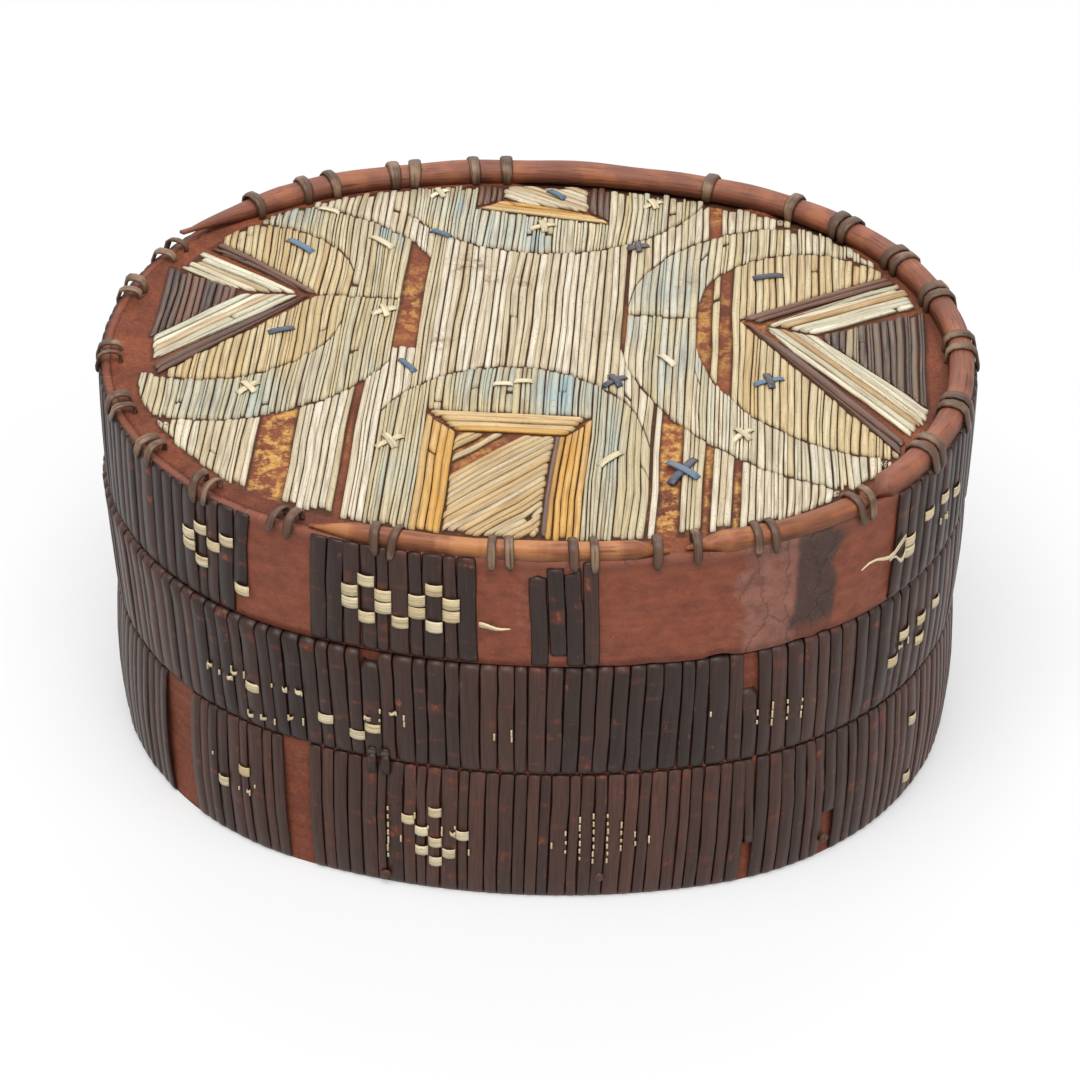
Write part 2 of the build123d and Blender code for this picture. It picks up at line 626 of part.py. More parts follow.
def right_core():
    low = line((69.5, 12.6), (94.5, -14.9))
    high = line((70.0, 12.3), (96.0, 25.4))
    return upright_quills(71.5, FIELD_RIGHT, low, high)


def front_fan():
    arc = over(FRONT_OUTER)
    left_edge, right_edge = FRONT_OUTER.x - FRONT_OUTER.radius + 2.6, FRONT_OUTER.x + FRONT_OUTER.radius
    left = upright_quills(left_edge, FRAME_LEFT, front_edge, arc)
    middle = upright_quills(FRAME_LEFT, FRAME_RIGHT, level(-28.1), arc)
    right = upright_quills(FRAME_RIGHT, right_edge, front_edge, arc)
    return left + middle + right


def front_frame():
    top, low = -28.6, -36.4
    corners = [(FRAME_LEFT + 1, top), (FRAME_RIGHT - 1, top), (FRAME_DARK, low), (PANEL_LEFT, low)]
    left_mitre = line((FRAME_LEFT, top - 0.6), (PANEL_LEFT, low - 0.3))
    right_mitre = line((FRAME_DARK, low - 0.3), (FRAME_RIGHT, top - 0.6))
    left = upright_quills(FRAME_LEFT, PANEL_LEFT, front_edge, left_mitre)
    right = upright_quills(FRAME_DARK, FRAME_RIGHT, front_edge, right_mitre)
    return turned_quills(corners, 0) + left + right


def front_frame_line():
    return upright_quills(PANEL_RIGHT, FRAME_DARK, front_edge, level(-36.8))


def front_panel():
    top = -36.8
    low = front_edge(PANEL_LEFT)
    corners = [(PANEL_LEFT, top), (PANEL_LEFT, low), (PANEL_RIGHT, low), (PANEL_RIGHT, top)]
    return turned_quills(corners, 47, (19, 20, 22))


def back_fan():
    arc = under(BACK_OUTER)
    left, _, _, right = BACK_FRAME
    start, stop = BACK_FAN_SPAN
    bar = line((left, 66.1), (right, 60.9))
    sides = upright_quills(start, left, arc, back_edge) + upright_quills(right, stop, arc, back_edge)
    return sides + upright_quills(left, right, arc, bar)


def back_frame():
    left, inner_left, inner_right, right = BACK_FRAME
    corners = [(left + 1, 66.2), (right, 61.2),
               (inner_right + 0.2, 66.0), (inner_left - 0.2, 70.0)]
    return turned_quills(corners, -8.2)


def back_frame_sides():
    left, inner_left, inner_right, right = BACK_FRAME
    left_mitre = line((left, 67.4), (inner_left, 70.8))
    right_mitre = line((inner_right, 66.6), (right, 62.2))
    left_side = upright_quills(left, inner_left, left_mitre, back_edge)
    return left_side + upright_quills(inner_right, right, right_mitre, back_edge)


def back_panel():
    _, left, right, _ = BACK_FRAME
    top = back_edge(left)
    corners = [(left, top), (left, 70.6), (right, 66.8), (right, top)]
    return turned_quills(corners, -28)


def stitch(x, y, turn, length):
    """A bar laid over the quills."""
    bar = Box(length, STITCH_WIDTH, STITCH_HEIGHT)
    return Pos(*laid(x, y, QUILL_TOP + SEAT + STITCH_HEIGHT / 2)) * Rot(0, 0, turn) * bar


def stitches(bars, crosses):
    singles = [stitch(*bar) for bar in bars]
    pairs = [stitch(*cross) + stitch(cross[0], cross[1], cross[2] + 80, cross[3] * 0.8) for cross in crosses]
    return Compound([solid for shape in singles + pairs for solid in shape.solids()])


def inner_collar():
    """Bark collar that lines both rings and stands up into the lid, with a lap at the back."""
    ring = oval_ring(COLLAR_OUTER, COLLAR_INNER, 0, COLLAR_TOP)
    x, y, radius, _ = spot(PERIMETER / 2)
    lap = oval_ring(COLLAR_INNER, COLLAR_INNER - LAP_PLY, BASE_THICKNESS + LAYER_GAP, COLLAR_TOP)
    window = Pos(0, y + radius, COLLAR_TOP / 2) * Box(LAP_WIDTH, HALF_WIDTH, 2 * COLLAR_TOP)
    return ring + (lap & window)


def collar_stitches():
    """Root stitches down the collar's lap."""
    outer = COLLAR_INNER - LAP_PLY - SEAT
    inner = outer - LAP_STITCH_THICKNESS
    outline = [(inner, 0), (outer, 0), (outer, LAP_STITCH_LENGTH), (inner, LAP_STITCH_LENGTH)]
    bar = upright(outline, LAP_STITCH_WIDTH)
    count = int((COLLAR_TOP - LAP_STITCH_START - LAP_STITCH_LENGTH) / LAP_STITCH_PITCH)
    heights = [LAP_STITCH_START + LAP_STITCH_PITCH * i for i in range(count)]
    return Compound([place(Pos(0, 0, height) * bar, PERIMETER / 2) for height in heights])


def ring_tie():
    """Two root loops that tie the upper ring to the lower one."""
    low, high = UPPER_BOTTOM - TIE_HALF_LENGTH, UPPER_BOTTOM + TIE_HALF_LENGTH
    loop = upright(strip_outline(RING_FACE + SEAT, low, high), LASH_WIDTH)
    return Compound([place(loop, distance) for distance in TIE_SPOTS])


def strip_knots():
    """Folded strip ends that stand out of the lower ring."""
    knot = Pos(RING_FACE + SEAT + KNOT_SIZE / 4, 0, 0) * Box(KNOT_SIZE / 2, KNOT_SIZE, KNOT_SIZE)
    return Compound([place(Pos(0, 0, height) * knot, distance) for distance, height in KNOTS])


def build():
    """Every node of the box by name."""
    wrap_seat = HOOP_OUTER + SEAT
    nodes = {
        "base_panel": oval_plate(COLLAR_INNER - LAYER_GAP, 0, BASE_THICKNESS),
        "inner_collar": inner_collar(),
        "collar_stitches": collar_stitches(),
        "lower_hoop": oval_ring(HOOP_OUTER, HOOP_INNER, 0, LOWER_RING_HEIGHT),
        "lower_wraps": winding(strip_outline(wrap_seat, 0, LOWER_RING_HEIGHT), LOWER_PITCH, LOWER_BARE),
        "lower_quill_checks": lower_quill_checks(),
        "upper_hoop": oval_ring(HOOP_OUTER, HOOP_INNER, UPPER_BOTTOM, UPPER_HOOP_TOP),
        "upper_wraps": winding(turned_outline(wrap_seat, UPPER_BOTTOM, UPPER_TOP, HOOP_WALL), UPPER_PITCH),
        "upper_quill_checks": upper_quill_checks(),
        "ring_tie": ring_tie(),
        "strip_knots": strip_knots(),
        "lid_disc": oval_plate(BAND_INNER - LAYER_GAP, DISC_BOTTOM, DISC_TOP),
        "lid_band": oval_ring(BAND_OUTER, BAND_INNER, LID_BOTTOM, LID_TOP),
        "lid_wraps": winding(strip_outline(BAND_OUTER + SEAT, LID_BOTTOM, LID_TOP), LID_PITCH, LID_BARE),
        "lid_quill_checks": lid_quill_checks(),
        "rim_hoop": swept(half_round(HOOP_WIDTH, HOOP_RISE), HOOP_SPAN),
        "rim_splint_right": swept(half_round(RIGHT_SPLINT_WIDTH, SPLINT_RISE), RIGHT_SPLINT_SPAN),
        "rim_splint_front": swept(half_round(SPLINT_WIDTH, SPLINT_RISE), FRONT_SPLINT_SPAN),
        "rim_lashings": rim_lashings(),
        "loose_lashings": loose_lashings(),
        "blue_stitches": stitches(BLUE_STITCHES, BLUE_CROSSES),
        "ivory_stitches": stitches(IVORY_STITCHES, IVORY_CROSSES),
    }
    fields = (centre_field, back_left_field, back_right_field, front_left_field, front_right_field,
              left_fan_outer, left_fan_inner, left_chevron, left_chevron_edges, left_core,
              right_fan_outer, right_fan_inner, right_chevron, right_chevron_edges, right_core,
              front_fan, front_frame, front_frame_line, front_panel,
              back_fan, back_frame, back_frame_sides, back_panel)
    for field in fields:
        nodes[field.__name__] = Compound(field())
    return nodes


os.makedirs("parts", exist_ok=True)
for name, shape in build().items():
    export_step(shape, f"parts/{name}.step")
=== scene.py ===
"""Quill box: the looks of an oval bark box wound with root strips, with a mosaic of quills on its lid."""
from math import atan2, cos, pi, radians, sin, sqrt
from random import Random

import bmesh
import bpy
from bpy.props import FloatProperty, FloatVectorProperty, PointerProperty
from mathutils import Matrix, Vector, kdtree, noise


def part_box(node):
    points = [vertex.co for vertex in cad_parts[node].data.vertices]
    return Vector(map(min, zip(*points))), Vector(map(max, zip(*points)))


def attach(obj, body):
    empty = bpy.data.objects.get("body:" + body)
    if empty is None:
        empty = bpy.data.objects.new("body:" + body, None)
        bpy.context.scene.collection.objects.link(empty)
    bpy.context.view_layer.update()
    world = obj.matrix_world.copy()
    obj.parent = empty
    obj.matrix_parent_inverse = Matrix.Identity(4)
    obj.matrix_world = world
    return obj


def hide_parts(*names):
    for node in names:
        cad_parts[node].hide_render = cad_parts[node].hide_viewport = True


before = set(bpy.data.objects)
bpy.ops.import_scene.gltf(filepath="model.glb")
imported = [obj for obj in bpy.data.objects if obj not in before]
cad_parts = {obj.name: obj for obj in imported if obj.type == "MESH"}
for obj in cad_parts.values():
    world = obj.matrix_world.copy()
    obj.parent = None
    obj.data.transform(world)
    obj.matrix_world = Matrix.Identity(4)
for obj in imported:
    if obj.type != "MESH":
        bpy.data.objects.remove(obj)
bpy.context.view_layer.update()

bl_info = {
    "name": "Quill Box",
    "version": (1, 0, 0),
    "blender": (4, 5, 0),
    "location": "View3D > Sidebar > Quill Box",
    "description": "Dresses a bark box with quills, root strips, a split hoop and lashings",
    "category": "Object",
}

MM = 0.001
MERGE = 1e-6
WHITE = "#ffffff"

# The plan oval of the lid's wound face: round ends joined by flatter long sides. Arc lengths run from the
# middle of the front to the right and on round; the left half counts back from the front as negative.
BAND_SET = 0.95 * MM          # lid band's outer face inside the plan oval
BAND_WALL = 2.0 * MM
STRIP_WALL = 0.9 * MM         # thickness of a CAD strip
LASH_WALL = 0.75 * MM         # thickness of a CAD lashing
SIDE_FLATNESS = 4 * MM
HALF_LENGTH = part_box("lid_band")[1].x + BAND_SET
HALF_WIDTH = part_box("lid_band")[1].y + BAND_SET
END_RADIUS = HALF_WIDTH - SIDE_FLATNESS
END_CENTRE = HALF_LENGTH - END_RADIUS
SIDE_RADIUS = (END_CENTRE**2 + HALF_WIDTH**2 - END_RADIUS**2) / (2 * SIDE_FLATNESS)
SIDE_CENTRE = SIDE_RADIUS - HALF_WIDTH
JOIN_ANGLE = atan2(SIDE_CENTRE, END_CENTRE)
SIDE_RUN = SIDE_RADIUS * (pi / 2 - JOIN_ANGLE)
END_RUN = END_RADIUS * 2 * JOIN_ANGLE
PERIMETER = 4 * SIDE_RUN + 2 * END_RUN

# Rods are closed tubes that quills, root strips and straps are shaped from: sides round and steps along
ROD_SIDES = 8
QUILL_STEPS = 7
ROOT_STEPS = 9
# Cells of the bark disc and up the lid's band, and the length of a step along the band and the hoop
DISC_COLUMNS, DISC_ROWS = 280, 224
BAND_ROWS = 14
BAND_STEP = 1.6 * MM
HOOP_STEP = 2.0 * MM

# How far each winding swells outwards at its middle
RING_SWELL = {"lower": 1.1 * MM, "upper": 0.7 * MM, "lid": 0.15 * MM}
RING_HEIGHTS = {ring: [corner.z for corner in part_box(ring + "_wraps")] for ring in RING_SWELL}
# Torn strips by ring: arc length of the strip and the shares of its height between which it is left
TORN = {
    "lid": ((-67, 0.24, 1.0), (5, 0.0, 0.86), (10, 0.1, 0.94), (14, 0.0, 0.9)),
    "upper": ((58, 0.0, 0.66), (-35, 0.0, 0.9)),
    "lower": ((60, 0.3, 1.0), (83, 0.34, 1.0), (-52, 0.16, 1.0)),
}
# Woven quills that are worn to bits: arc length and height above the ring's foot, in millimetres
WORN_CHECKS = {
    "lid": ((120.9, 12.1),),
    "upper": ((-78.2, 13.3), (-74.2, 13.3), (-70.2, 16.3), (-58.1, 16.3), (-54.1, 16.3), (-54.1, 7.3),
              (-66.2, 4.3), (-62.2, 4.3), (-34.1, 13.3), (-30.1, 16.3), (106.2, 16.3)),
    "lower": ((-15.3, 20.0), (-69.8, 18.3)),
}
# Slivers of quill left in the joints: arc length, and lower and upper end above the ring's foot
SLIVERS = {
    "lid": ((-73.8, 14.5, 17.5), (-69.7, 13.5, 19.0), (108.6, 9.0, 15.0), (112.7, 8.0, 13.0),
            (116.8, 12.0, 16.0)),
    "upper": ((-26.1, 12.5, 16.5),),
    "lower": ((-23.8, 23.5, 26.0), (-20.4, 20.5, 22.8), (-17.0, 20.0, 23.2), (-13.6, 21.2, 23.8),
              (-10.2, 13.5, 16.0), (-27.2, 15.2, 18.0), (-66.4, 20.0, 22.6), (-80.0, 24.5, 26.5)),
}
PROUD = 0.14 * MM             # woven quills stand off their seat
OVERLAP = 1.12                # woven quills reach past their strip's edges
TAIL_HALF = 2.5 * MM          # a check that is wider to each side is a loose quill end
SLIVER_HALF = 0.6 * MM        # and one that is narrower is a row of slivers
SLIVER_PITCH = 2.6 * MM
WORN_REACH = 1.5 * MM         # a check this near to a worn place is worn
STRIP_GAP = 1 * MM            # strips nearer to each other than this share a joint
HALF_JOINT = 0.03 * MM

# Quill fields by what they are made of
FIELDS = {
    "quill_ivory": ("centre_field", "back_left_field", "back_right_field", "front_left_field",
                    "front_right_field", "left_chevron", "right_chevron", "front_panel", "back_panel"),
    "quill_blue": ("left_fan_outer", "right_fan_outer", "front_fan", "back_fan"),
    "quill_gold": ("left_fan_inner", "right_fan_inner", "front_frame", "back_frame"),
    "quill_dark": ("left_chevron_edges", "right_chevron_edges", "left_core", "right_core", "front_frame_line",
                   "back_frame_sides"),
}
# Patches where the blue dye still shows on the lid: x, y, radius in millimetres and strength
BLUE_PATCHES = (
    (-68, 60, 10, 0.7), (-43, 50, 7, 1.0), (-72, -28, 16, 0.5), (-40, -12, 12, 0.3), (31, 30, 14, 0.75),
    (33, 44, 8, 0.6), (34, -4, 9, 0.65), (26, 12, 8, 0.5), (8, -18, 14, 0.75), (-12, -14, 12, 0.45),
    (18, -44, 7, 0.8), (18, -62, 7, 0.7), (-14, 55, 14, 0.65), (-27, 66, 9, 0.6), (-4, 50, 6, 0.8),
    (-30, -55, 8, 0.35),
)
# Patches of brown soil on the quills, and of the disc's bare bark where orange flecks show, written likewise
SOIL_PATCHES = ((-20, 37, 8, 1.4), (-25, 2, 8, 0.9), (-14, 32, 6, 1.1), (36, 33, 6, 1.0), (15, 8, 7, 0.6),
                (-6, 30, 5, 1.2))
FLECK_PATCHES = (
    (-61, -42, 20, 1.6), (-60, -58, 18, 1.6), (32, -42, 18, 1.8), (33, -62, 18, 1.8), (47, -60, 18, 1.2),
    (41, 12, 26, 0.7), (-34, 20, 20, 0.8), (-12, -44, 10, 0.7), (43, 70, 9, 0.6),
)
# Amounts of their second dye that the quills of a field take in turn
TINTS = {
    "front_frame": (1.0, 0.9, 1.0, 0.5), "back_frame": (0.9, 0.5, 1.0), "left_chevron": (0.0, 0.2, 0.6, 0.9),
    "right_chevron": (0.0, 0.1, 0.8, 0.2), "left_core": (0.2, 0.6, 1.0), "right_core": (0.2, 0.6, 1.0),
    "left_chevron_edges": (0.1, 0.6), "right_chevron_edges": (0.0, 0.3), "left_fan_inner": (0.0, 0.05, 0.2),
    "front_panel": (0.4, 0.7, 1.0), "back_panel": (0.2, 0.5),
}
PLAIN_TINTS = (0.0, 0.0, 0.15)
# How far the quills of a field go towards their darker straw colour
STRAW = {
    "left_fan_outer": 0.55, "front_fan": 0.75, "left_fan_inner": 0.35, "front_panel": 0.6,
    "right_fan_inner": 0.25, "back_fan": 0.3, "right_fan_outer": 0.2, "left_core": 0.3, "right_core": 0.2,
}
# Share of a field's places that hold two thin quills instead of one, and of long quills that are broken
SPLIT = {
    "left_fan_outer": 0.55, "front_fan": 0.5, "right_fan_outer": 0.35, "back_fan": 0.4,
    "left_fan_inner": 0.25,
}
PLAIN_SPLIT = 0.12
BROKEN_SHARE = 0.07
LONG_QUILL = 14 * MM
SHORT_QUILL = 5 * MM          # a shorter quill has smaller ends
COVER_PITCH = 0.7 * MM        # between the points that mark where quills cover the disc
BLUNT_END = 1.2 * MM          # a quill's end is drawn down over this length
RIM_ZONE = -12.5 * MM         # quills that end nearer to the oval than this are ragged
HOOP_SIDE = -9.2 * MM         # the right arrow's quills reach out to here
LINE_SHARE = 0.45             # how much of the front frame's line is its dark quill

# Bars and crosses of flattened quill laid over the mosaic: x, y, turn in degrees and length, in millimetres
BLUE_BARS = ((-65, 43, -38, 9), (-65, 3, 22, 7), (-29, 52, -25, 6), (-32, -10, -50, 7), (57, 38, 15, 8),
             (0, 74, -40, 6))
BLUE_CROSSES = ((23, 49.5, 20, 6), (20, -13, 40, 7), (58, -10, 25, 8), (38, -49.5, 62, 12))
IVORY_BARS = (
    (-59.5, 61, -20, 6), (-44, 46.5, -40, 8), (-7.5, -16.5, 4, 5), (-2.5, -15, 4, 5), (20.5, -46, 50, 8),
    (32.5, -2.5, -50, 6),
)
IVORY_CROSSES = (
    (-40, 14, 30, 7), (-70, -23, 50, 7), (-33, -43, 40, 8), (-2.5, 57.5, 25, 7), (-31, 72, 40, 6),
    (26, 71, 35, 6), (52, -33.5, 50, 7),
)
CROSS_TURN = 80               # degrees from a cross's first bar to its second

# Camera of the picture's view, in millimetres
CAMERA_PLACE = (44.85, -749.59, 608.73)
CAMERA_RIGHT = (0.99775, 0.06612, 0.01064)
CAMERA_UP = (-0.04816, 0.59785, 0.80016)
CAMERA_LENS = 120.06
# Soft boxes by name: place and size in metres, and power in watts
SOFTBOXES = {
    "key softbox": ((-0.1, -0.55, 1.6), 1.2, 28.0),
    "fill softbox": ((1.1, -0.9, 0.9), 1.4, 5.0),
    "back softbox": ((0.0, 1.3, 1.2), 1.4, 8.0),
}
LIT_POINT = (0, 0, 0.06)
SOFT_LIGHT = 0.5              # strength of the even light all round
FLOOR_REACH = 6
FLOOR_GLOW = 0.37


def linear(code):
    """A hex sRGB colour as linear red, green and blue."""
    channels = [int(code[i:i + 2], 16) / 255 for i in (1, 3, 5)]
    return tuple(c / 12.92 if c <= 0.04045 else ((c + 0.055) / 1.055) ** 2.4 for c in channels)


class QuillBoxColours(bpy.types.PropertyGroup):
    """Colours of the box's materials."""
    ivory: FloatVectorProperty(
        name="Ivory quill", description="Undyed quill", subtype="COLOR", default=linear("#d6cdb8"))
    blue: FloatVectorProperty(
        name="Faded blue", description="Quill dyed blue and faded", subtype="COLOR",
        default=linear("#8fa9ae"))
    gold: FloatVectorProperty(
        name="Gold quill", description="Quill dyed yellow", subtype="COLOR", default=linear("#cdc19e"))
    ochre: FloatVectorProperty(
        name="Ochre", description="Strongest yellow dye", subtype="COLOR", default=linear("#c18d30"))
    dark: FloatVectorProperty(
        name="Dark quill", description="Quill dyed brown to black", subtype="COLOR",
        default=linear("#4a3630"))
    dirt_and_shade: FloatVectorProperty(
        name="Soil", description="Brown dirt in the quills", subtype="COLOR", default=linear("#7a5a3c"))
    stitch: FloatVectorProperty(
        name="Blue stitch", description="Deep blue quill", subtype="COLOR", default=linear("#264561"))
    strip: FloatVectorProperty(
        name="Root strip", description="Dark stained root", subtype="COLOR", default=linear("#32231e"))
    strip_red: FloatVectorProperty(
        name="Worn root strip", description="Root strip where the stain has gone", subtype="COLOR",
        default=linear("#5a3a2f"))
    rust: FloatVectorProperty(
        name="Rusty wear", description="Bare root in worn spots", subtype="COLOR", default=linear("#9c5230"))
    bark: FloatVectorProperty(
        name="Bark", description="Red-brown inner bark", subtype="COLOR", default=linear("#864a36"))
    bark_deep: FloatVectorProperty(
        name="Deep bark", description="Darker streaks of the bark", subtype="COLOR",
        default=linear("#5c3529"))
    bark_fleck: FloatVectorProperty(
        name="Bark fleck", description="Yellow flecks of peeled bark", subtype="COLOR",
        default=linear("#b98a4c"))
    hoop: FloatVectorProperty(
        name="Hoop", description="Split hoop with its bark on", subtype="COLOR", default=linear("#8a5440"))
    splint: FloatVectorProperty(
        name="Splint", description="Peeled splint", subtype="COLOR", default=linear("#935737"))
    lashing: FloatVectorProperty(
        name="Lashing", description="Undyed split root", subtype="COLOR", default=linear("#644a39"))


class QuillBoxSizes(bpy.types.PropertyGroup):
    """Sizes of what is loose, worn and handmade about the box."""
    quill_height: FloatProperty(
        name="Quill height", description="Rise of a flattened quill", default=1.0 * MM, unit="LENGTH")
    quill_stray: FloatProperty(
        name="Quill stray", description="How far quills stray from their lines",
        default=0.8 * MM, unit="LENGTH")
    strip_thickness: FloatProperty(
        name="Strip thickness", description="Thickness of a root strip", default=0.85 * MM, unit="LENGTH")
    strip_lean: FloatProperty(
        name="Strip lean", description="How far strips lean together", default=2.6 * MM, unit="LENGTH")
    lash_thickness: FloatProperty(
        name="Lashing thickness", description="Thickness of a root lashing", default=0.95 * MM, unit="LENGTH")
    hoop_wave: FloatProperty(
        name="Hoop wave", description="Rise and fall of the hand-split hoop", default=0.5 * MM, unit="LENGTH")
    colours: PointerProperty(type=QuillBoxColours)


def arc_at(distance):
    """Centre, radius and angle of the plan oval's arc at an arc length from the front middle."""
    distance = distance % PERIMETER
    if distance > PERIMETER - SIDE_RUN:
        distance -= PERIMETER
    if distance < SIDE_RUN:
        return Vector((0, SIDE_CENTRE)), SIDE_RADIUS, -pi / 2 + distance / SIDE_RADIUS
    distance -= SIDE_RUN
    if distance < END_RUN:
        return Vector((END_CENTRE, 0)), END_RADIUS, -JOIN_ANGLE + distance / END_RADIUS
    distance -= END_RUN
    if distance < 2 * SIDE_RUN:
        return Vector((0, -SIDE_CENTRE)), SIDE_RADIUS, JOIN_ANGLE + distance / SIDE_RADIUS
    distance -= 2 * SIDE_RUN
    return Vector((-END_CENTRE, 0)), END_RADIUS, pi - JOIN_ANGLE + distance / END_RADIUS


def on_oval(distance):
    """Point and outward direction of the plan oval at an arc length."""
    centre, radius, angle = arc_at(distance)
    out = Vector((cos(angle), sin(angle)))
    return centre + out * radius, out


def along_oval(point):
    """Arc length and offset of a point from the plan oval; the left half is negative."""
    x, y = point[0], point[1]
    right, left = atan2(y, x - END_CENTRE), atan2(y, -x - END_CENTRE)
    if abs(right) <= JOIN_ANGLE and x > END_CENTRE:
        return SIDE_RUN + (right + JOIN_ANGLE) * END_RADIUS, sqrt((x - END_CENTRE) ** 2 + y**2) - END_RADIUS
    if abs(left) <= JOIN_ANGLE and x < -END_CENTRE:
        return -SIDE_RUN - (left + JOIN_ANGLE) * END_RADIUS, sqrt((x + END_CENTRE) ** 2 + y**2) - END_RADIUS
    turn = atan2(x, abs(y) + SIDE_CENTRE)
    offset = sqrt(x**2 + (abs(y) + SIDE_CENTRE) ** 2) - SIDE_RADIUS
    if y < 0:
        return turn * SIDE_RADIUS, offset
    back = PERIMETER / 2 - turn * SIDE_RADIUS
    return (back if back <= PERIMETER / 2 else back - PERIMETER), offset


def at(distance, offset, height):
    """A point by arc length, offset from the plan oval and height."""
    point, out = on_oval(distance)
    return Vector((*(point + out * offset), height))


def beside(distance, points):
    """How far points lie along the wall from an arc length."""
    point, out = on_oval(distance)
    tangent = Vector((-out.y, out.x))
    return [(p.to_2d() - point).dot(tangent) for p in points]


def square_to(path, step):
    """Direction square to a path of offsets and heights, at one of its points."""
    before, after = path[max(step - 1, 0)], path[min(step + 1, len(path) - 1)]
    run = Vector((after[0] - before[0], after[1] - before[1])).normalized()
    return Vector((run.y, -run.x))


def fade(value, low, high, soft):
    """One between two limits, falling to zero over a soft margin outside them."""
    return max(0.0, min(1.0, 1 - max(low - value, value - high) / soft))


def sign(value):
    """One above zero, and minus one else."""
    return 1 if value > 0 else -1


def middle_of(points):
    """The mean of some points."""
    return sum(points, Vector()) / len(points)


def ring_of(node):
    """The ring whose name a node's name starts with."""
    return node.split("_")[0]


def patch_strength(patches, x, y):
    """How strongly a point in millimetres lies in any of the round patches."""
    strength = 0.0
    for px, py, radius, level in patches:
        gap = sqrt((x - px) ** 2 + (y - py) ** 2) / radius
        strength = max(strength, level * max(0.0, 1.0 - gap * gap))
    return min(1.0, strength)


def swell(node, distance, height):
    """How far the winding of a ring swells outwards; the upper ring has a shoulder, broadest at the left."""
    ring = ring_of(node)
    low, high = RING_HEIGHTS[ring]
    share = max(0.0, min(1.0, (height - low) / (high - low)))
    out = RING_SWELL[ring] * sin(pi * share)
    if ring == "upper":
        out += (0.5 + 1.6 * fade(distance / MM, -230, -40, 90)) * MM * share ** 3
    return out


def solids_of(node):
    """Corner points of each solid in a CAD node, read from a merged copy of its mesh."""
    work = bmesh.new()
    work.from_mesh(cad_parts[node].data)
    bmesh.ops.remove_doubles(work, verts=work.verts, dist=MERGE)
    solids = []
    for start in work.verts:
        if start.tag:
            continue
        start.tag = True
        solid, waiting = [], [start]
        while waiting:
            vert = waiting.pop()
            solid.append(vert.co.copy())
            for edge in vert.link_edges:
                other = edge.other_vert(vert)
                if not other.tag:
                    other.tag = True
                    waiting.append(other)
        solids.append(solid)
    work.free()
    return solids


def layers_of(shape):
    """The grain, tone, tint, and dirt and painted shade of a shape's points, which the materials read."""
    layers = shape.verts.layers
    return layers.float_vector["grain"], *(layers.float[name] for name in ("tone", "tint", "dirt_and_shade"))


def with_layers(shape):
    """Adds grain, tone, tint, and dirt and painted shade to a shape's points."""
    shape.verts.layers.float_vector.new("grain")
    for name in ("tone", "tint", "dirt_and_shade"):
        shape.verts.layers.float.new(name)
    return layers_of(shape)


def rod(steps):
    """A closed rod of radius 1 from z 0 to z 1."""
    shape = bmesh.new()
    bmesh.ops.create_cone(shape, cap_ends=True, segments=ROD_SIDES, radius1=1, radius2=1, depth=1)
    bmesh.ops.translate(shape, verts=shape.verts, vec=(0, 0, 0.5))
    long_edges = [e for e in shape.edges if abs(e.verts[0].co.z - e.verts[1].co.z) > 0.5]
    bmesh.ops.subdivide_edges(shape, edges=long_edges, cuts=steps - 1, use_grid_fill=True)
    with_layers(shape)
    mesh = bpy.data.meshes.new("rod")
    shape.to_mesh(mesh)
    shape.free()
    return mesh


def add_rod(shape, template, tone, place):
    """Adds a rod; place turns each of its points into a place, grain in millimetres, tint, and dirt and
    painted shade.
    """
    first = len(shape.verts)
    shape.from_mesh(template)
    shape.verts.ensure_lookup_table()
    grain, tones, tint, dirt_and_shade = layers_of(shape)
    for vert in shape.verts[first:]:
        vert.co, vert[grain], vert[tint], vert[dirt_and_shade] = place(*vert.co)
        vert[tones] = tone


def sweep(shape, outline, start, end, step):
    """Spins a closed outline of offsets and heights along the plan oval between two arc lengths."""
    verts = [shape.verts.new(at(start, offset, height)) for offset, height in outline]
    edges = [shape.edges.new(pair) for pair in zip(verts, verts[1:] + verts[:1])]
    geom = verts + edges
    joints = [SIDE_RUN, SIDE_RUN + END_RUN, 3 * SIDE_RUN + END_RUN, PERIMETER - SIDE_RUN]
    stops = [start] + [joint for joint in joints if start < joint < end] + [end]
    for low, high in zip(stops, stops[1:]):
        centre, radius, _ = arc_at((low + high) / 2)
        turn, steps = (high - low) / radius, max(1, round((high - low) / step))
        made = bmesh.ops.spin(shape, geom=geom, cent=(*centre, 0), axis=(0, 0, 1), angle=turn, steps=steps,
                              use_duplicate=False)
        geom = made["geom_last"]
    if end - start < PERIMETER - MERGE:
        bmesh.ops.contextual_create(shape, geom=edges)
        bmesh.ops.contextual_create(shape, geom=[e for e in geom if isinstance(e, bmesh.types.BMEdge)])
    bmesh.ops.remove_doubles(shape, verts=shape.verts, dist=10 * MERGE)


def finish_piece(shape, name, body, slot, material, *replaced):
    """Makes an object of a piece, with its material, body and the CAD nodes that it stands for."""
    bmesh.ops.recalc_face_normals(shape, faces=shape.faces)
    mesh = bpy.data.meshes.new(name)
    shape.to_mesh(mesh)
    shape.free()
    mesh.shade_smooth()
    mesh.materials.append(material)
    piece = bpy.data.objects.new(name, mesh)
    bpy.context.scene.collection.objects.link(piece)
    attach(piece, body)
    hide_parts(*replaced)


def connect(tree, node, inputs):
    """Sets a node's inputs: numbers, colours, or nodes and sockets to link."""
    for key, value in inputs.items():
        socket = node.inputs[key]
        if isinstance(value, bpy.types.Node):
            value = next(output for output in value.outputs if output.enabled)
        if isinstance(value, bpy.types.NodeSocket):
            tree.links.new(value, socket)
            continue
        if isinstance(value, str):
            value = linear(value)
        socket.default_value = (*value, 1.0) if socket.type == "RGBA" else value


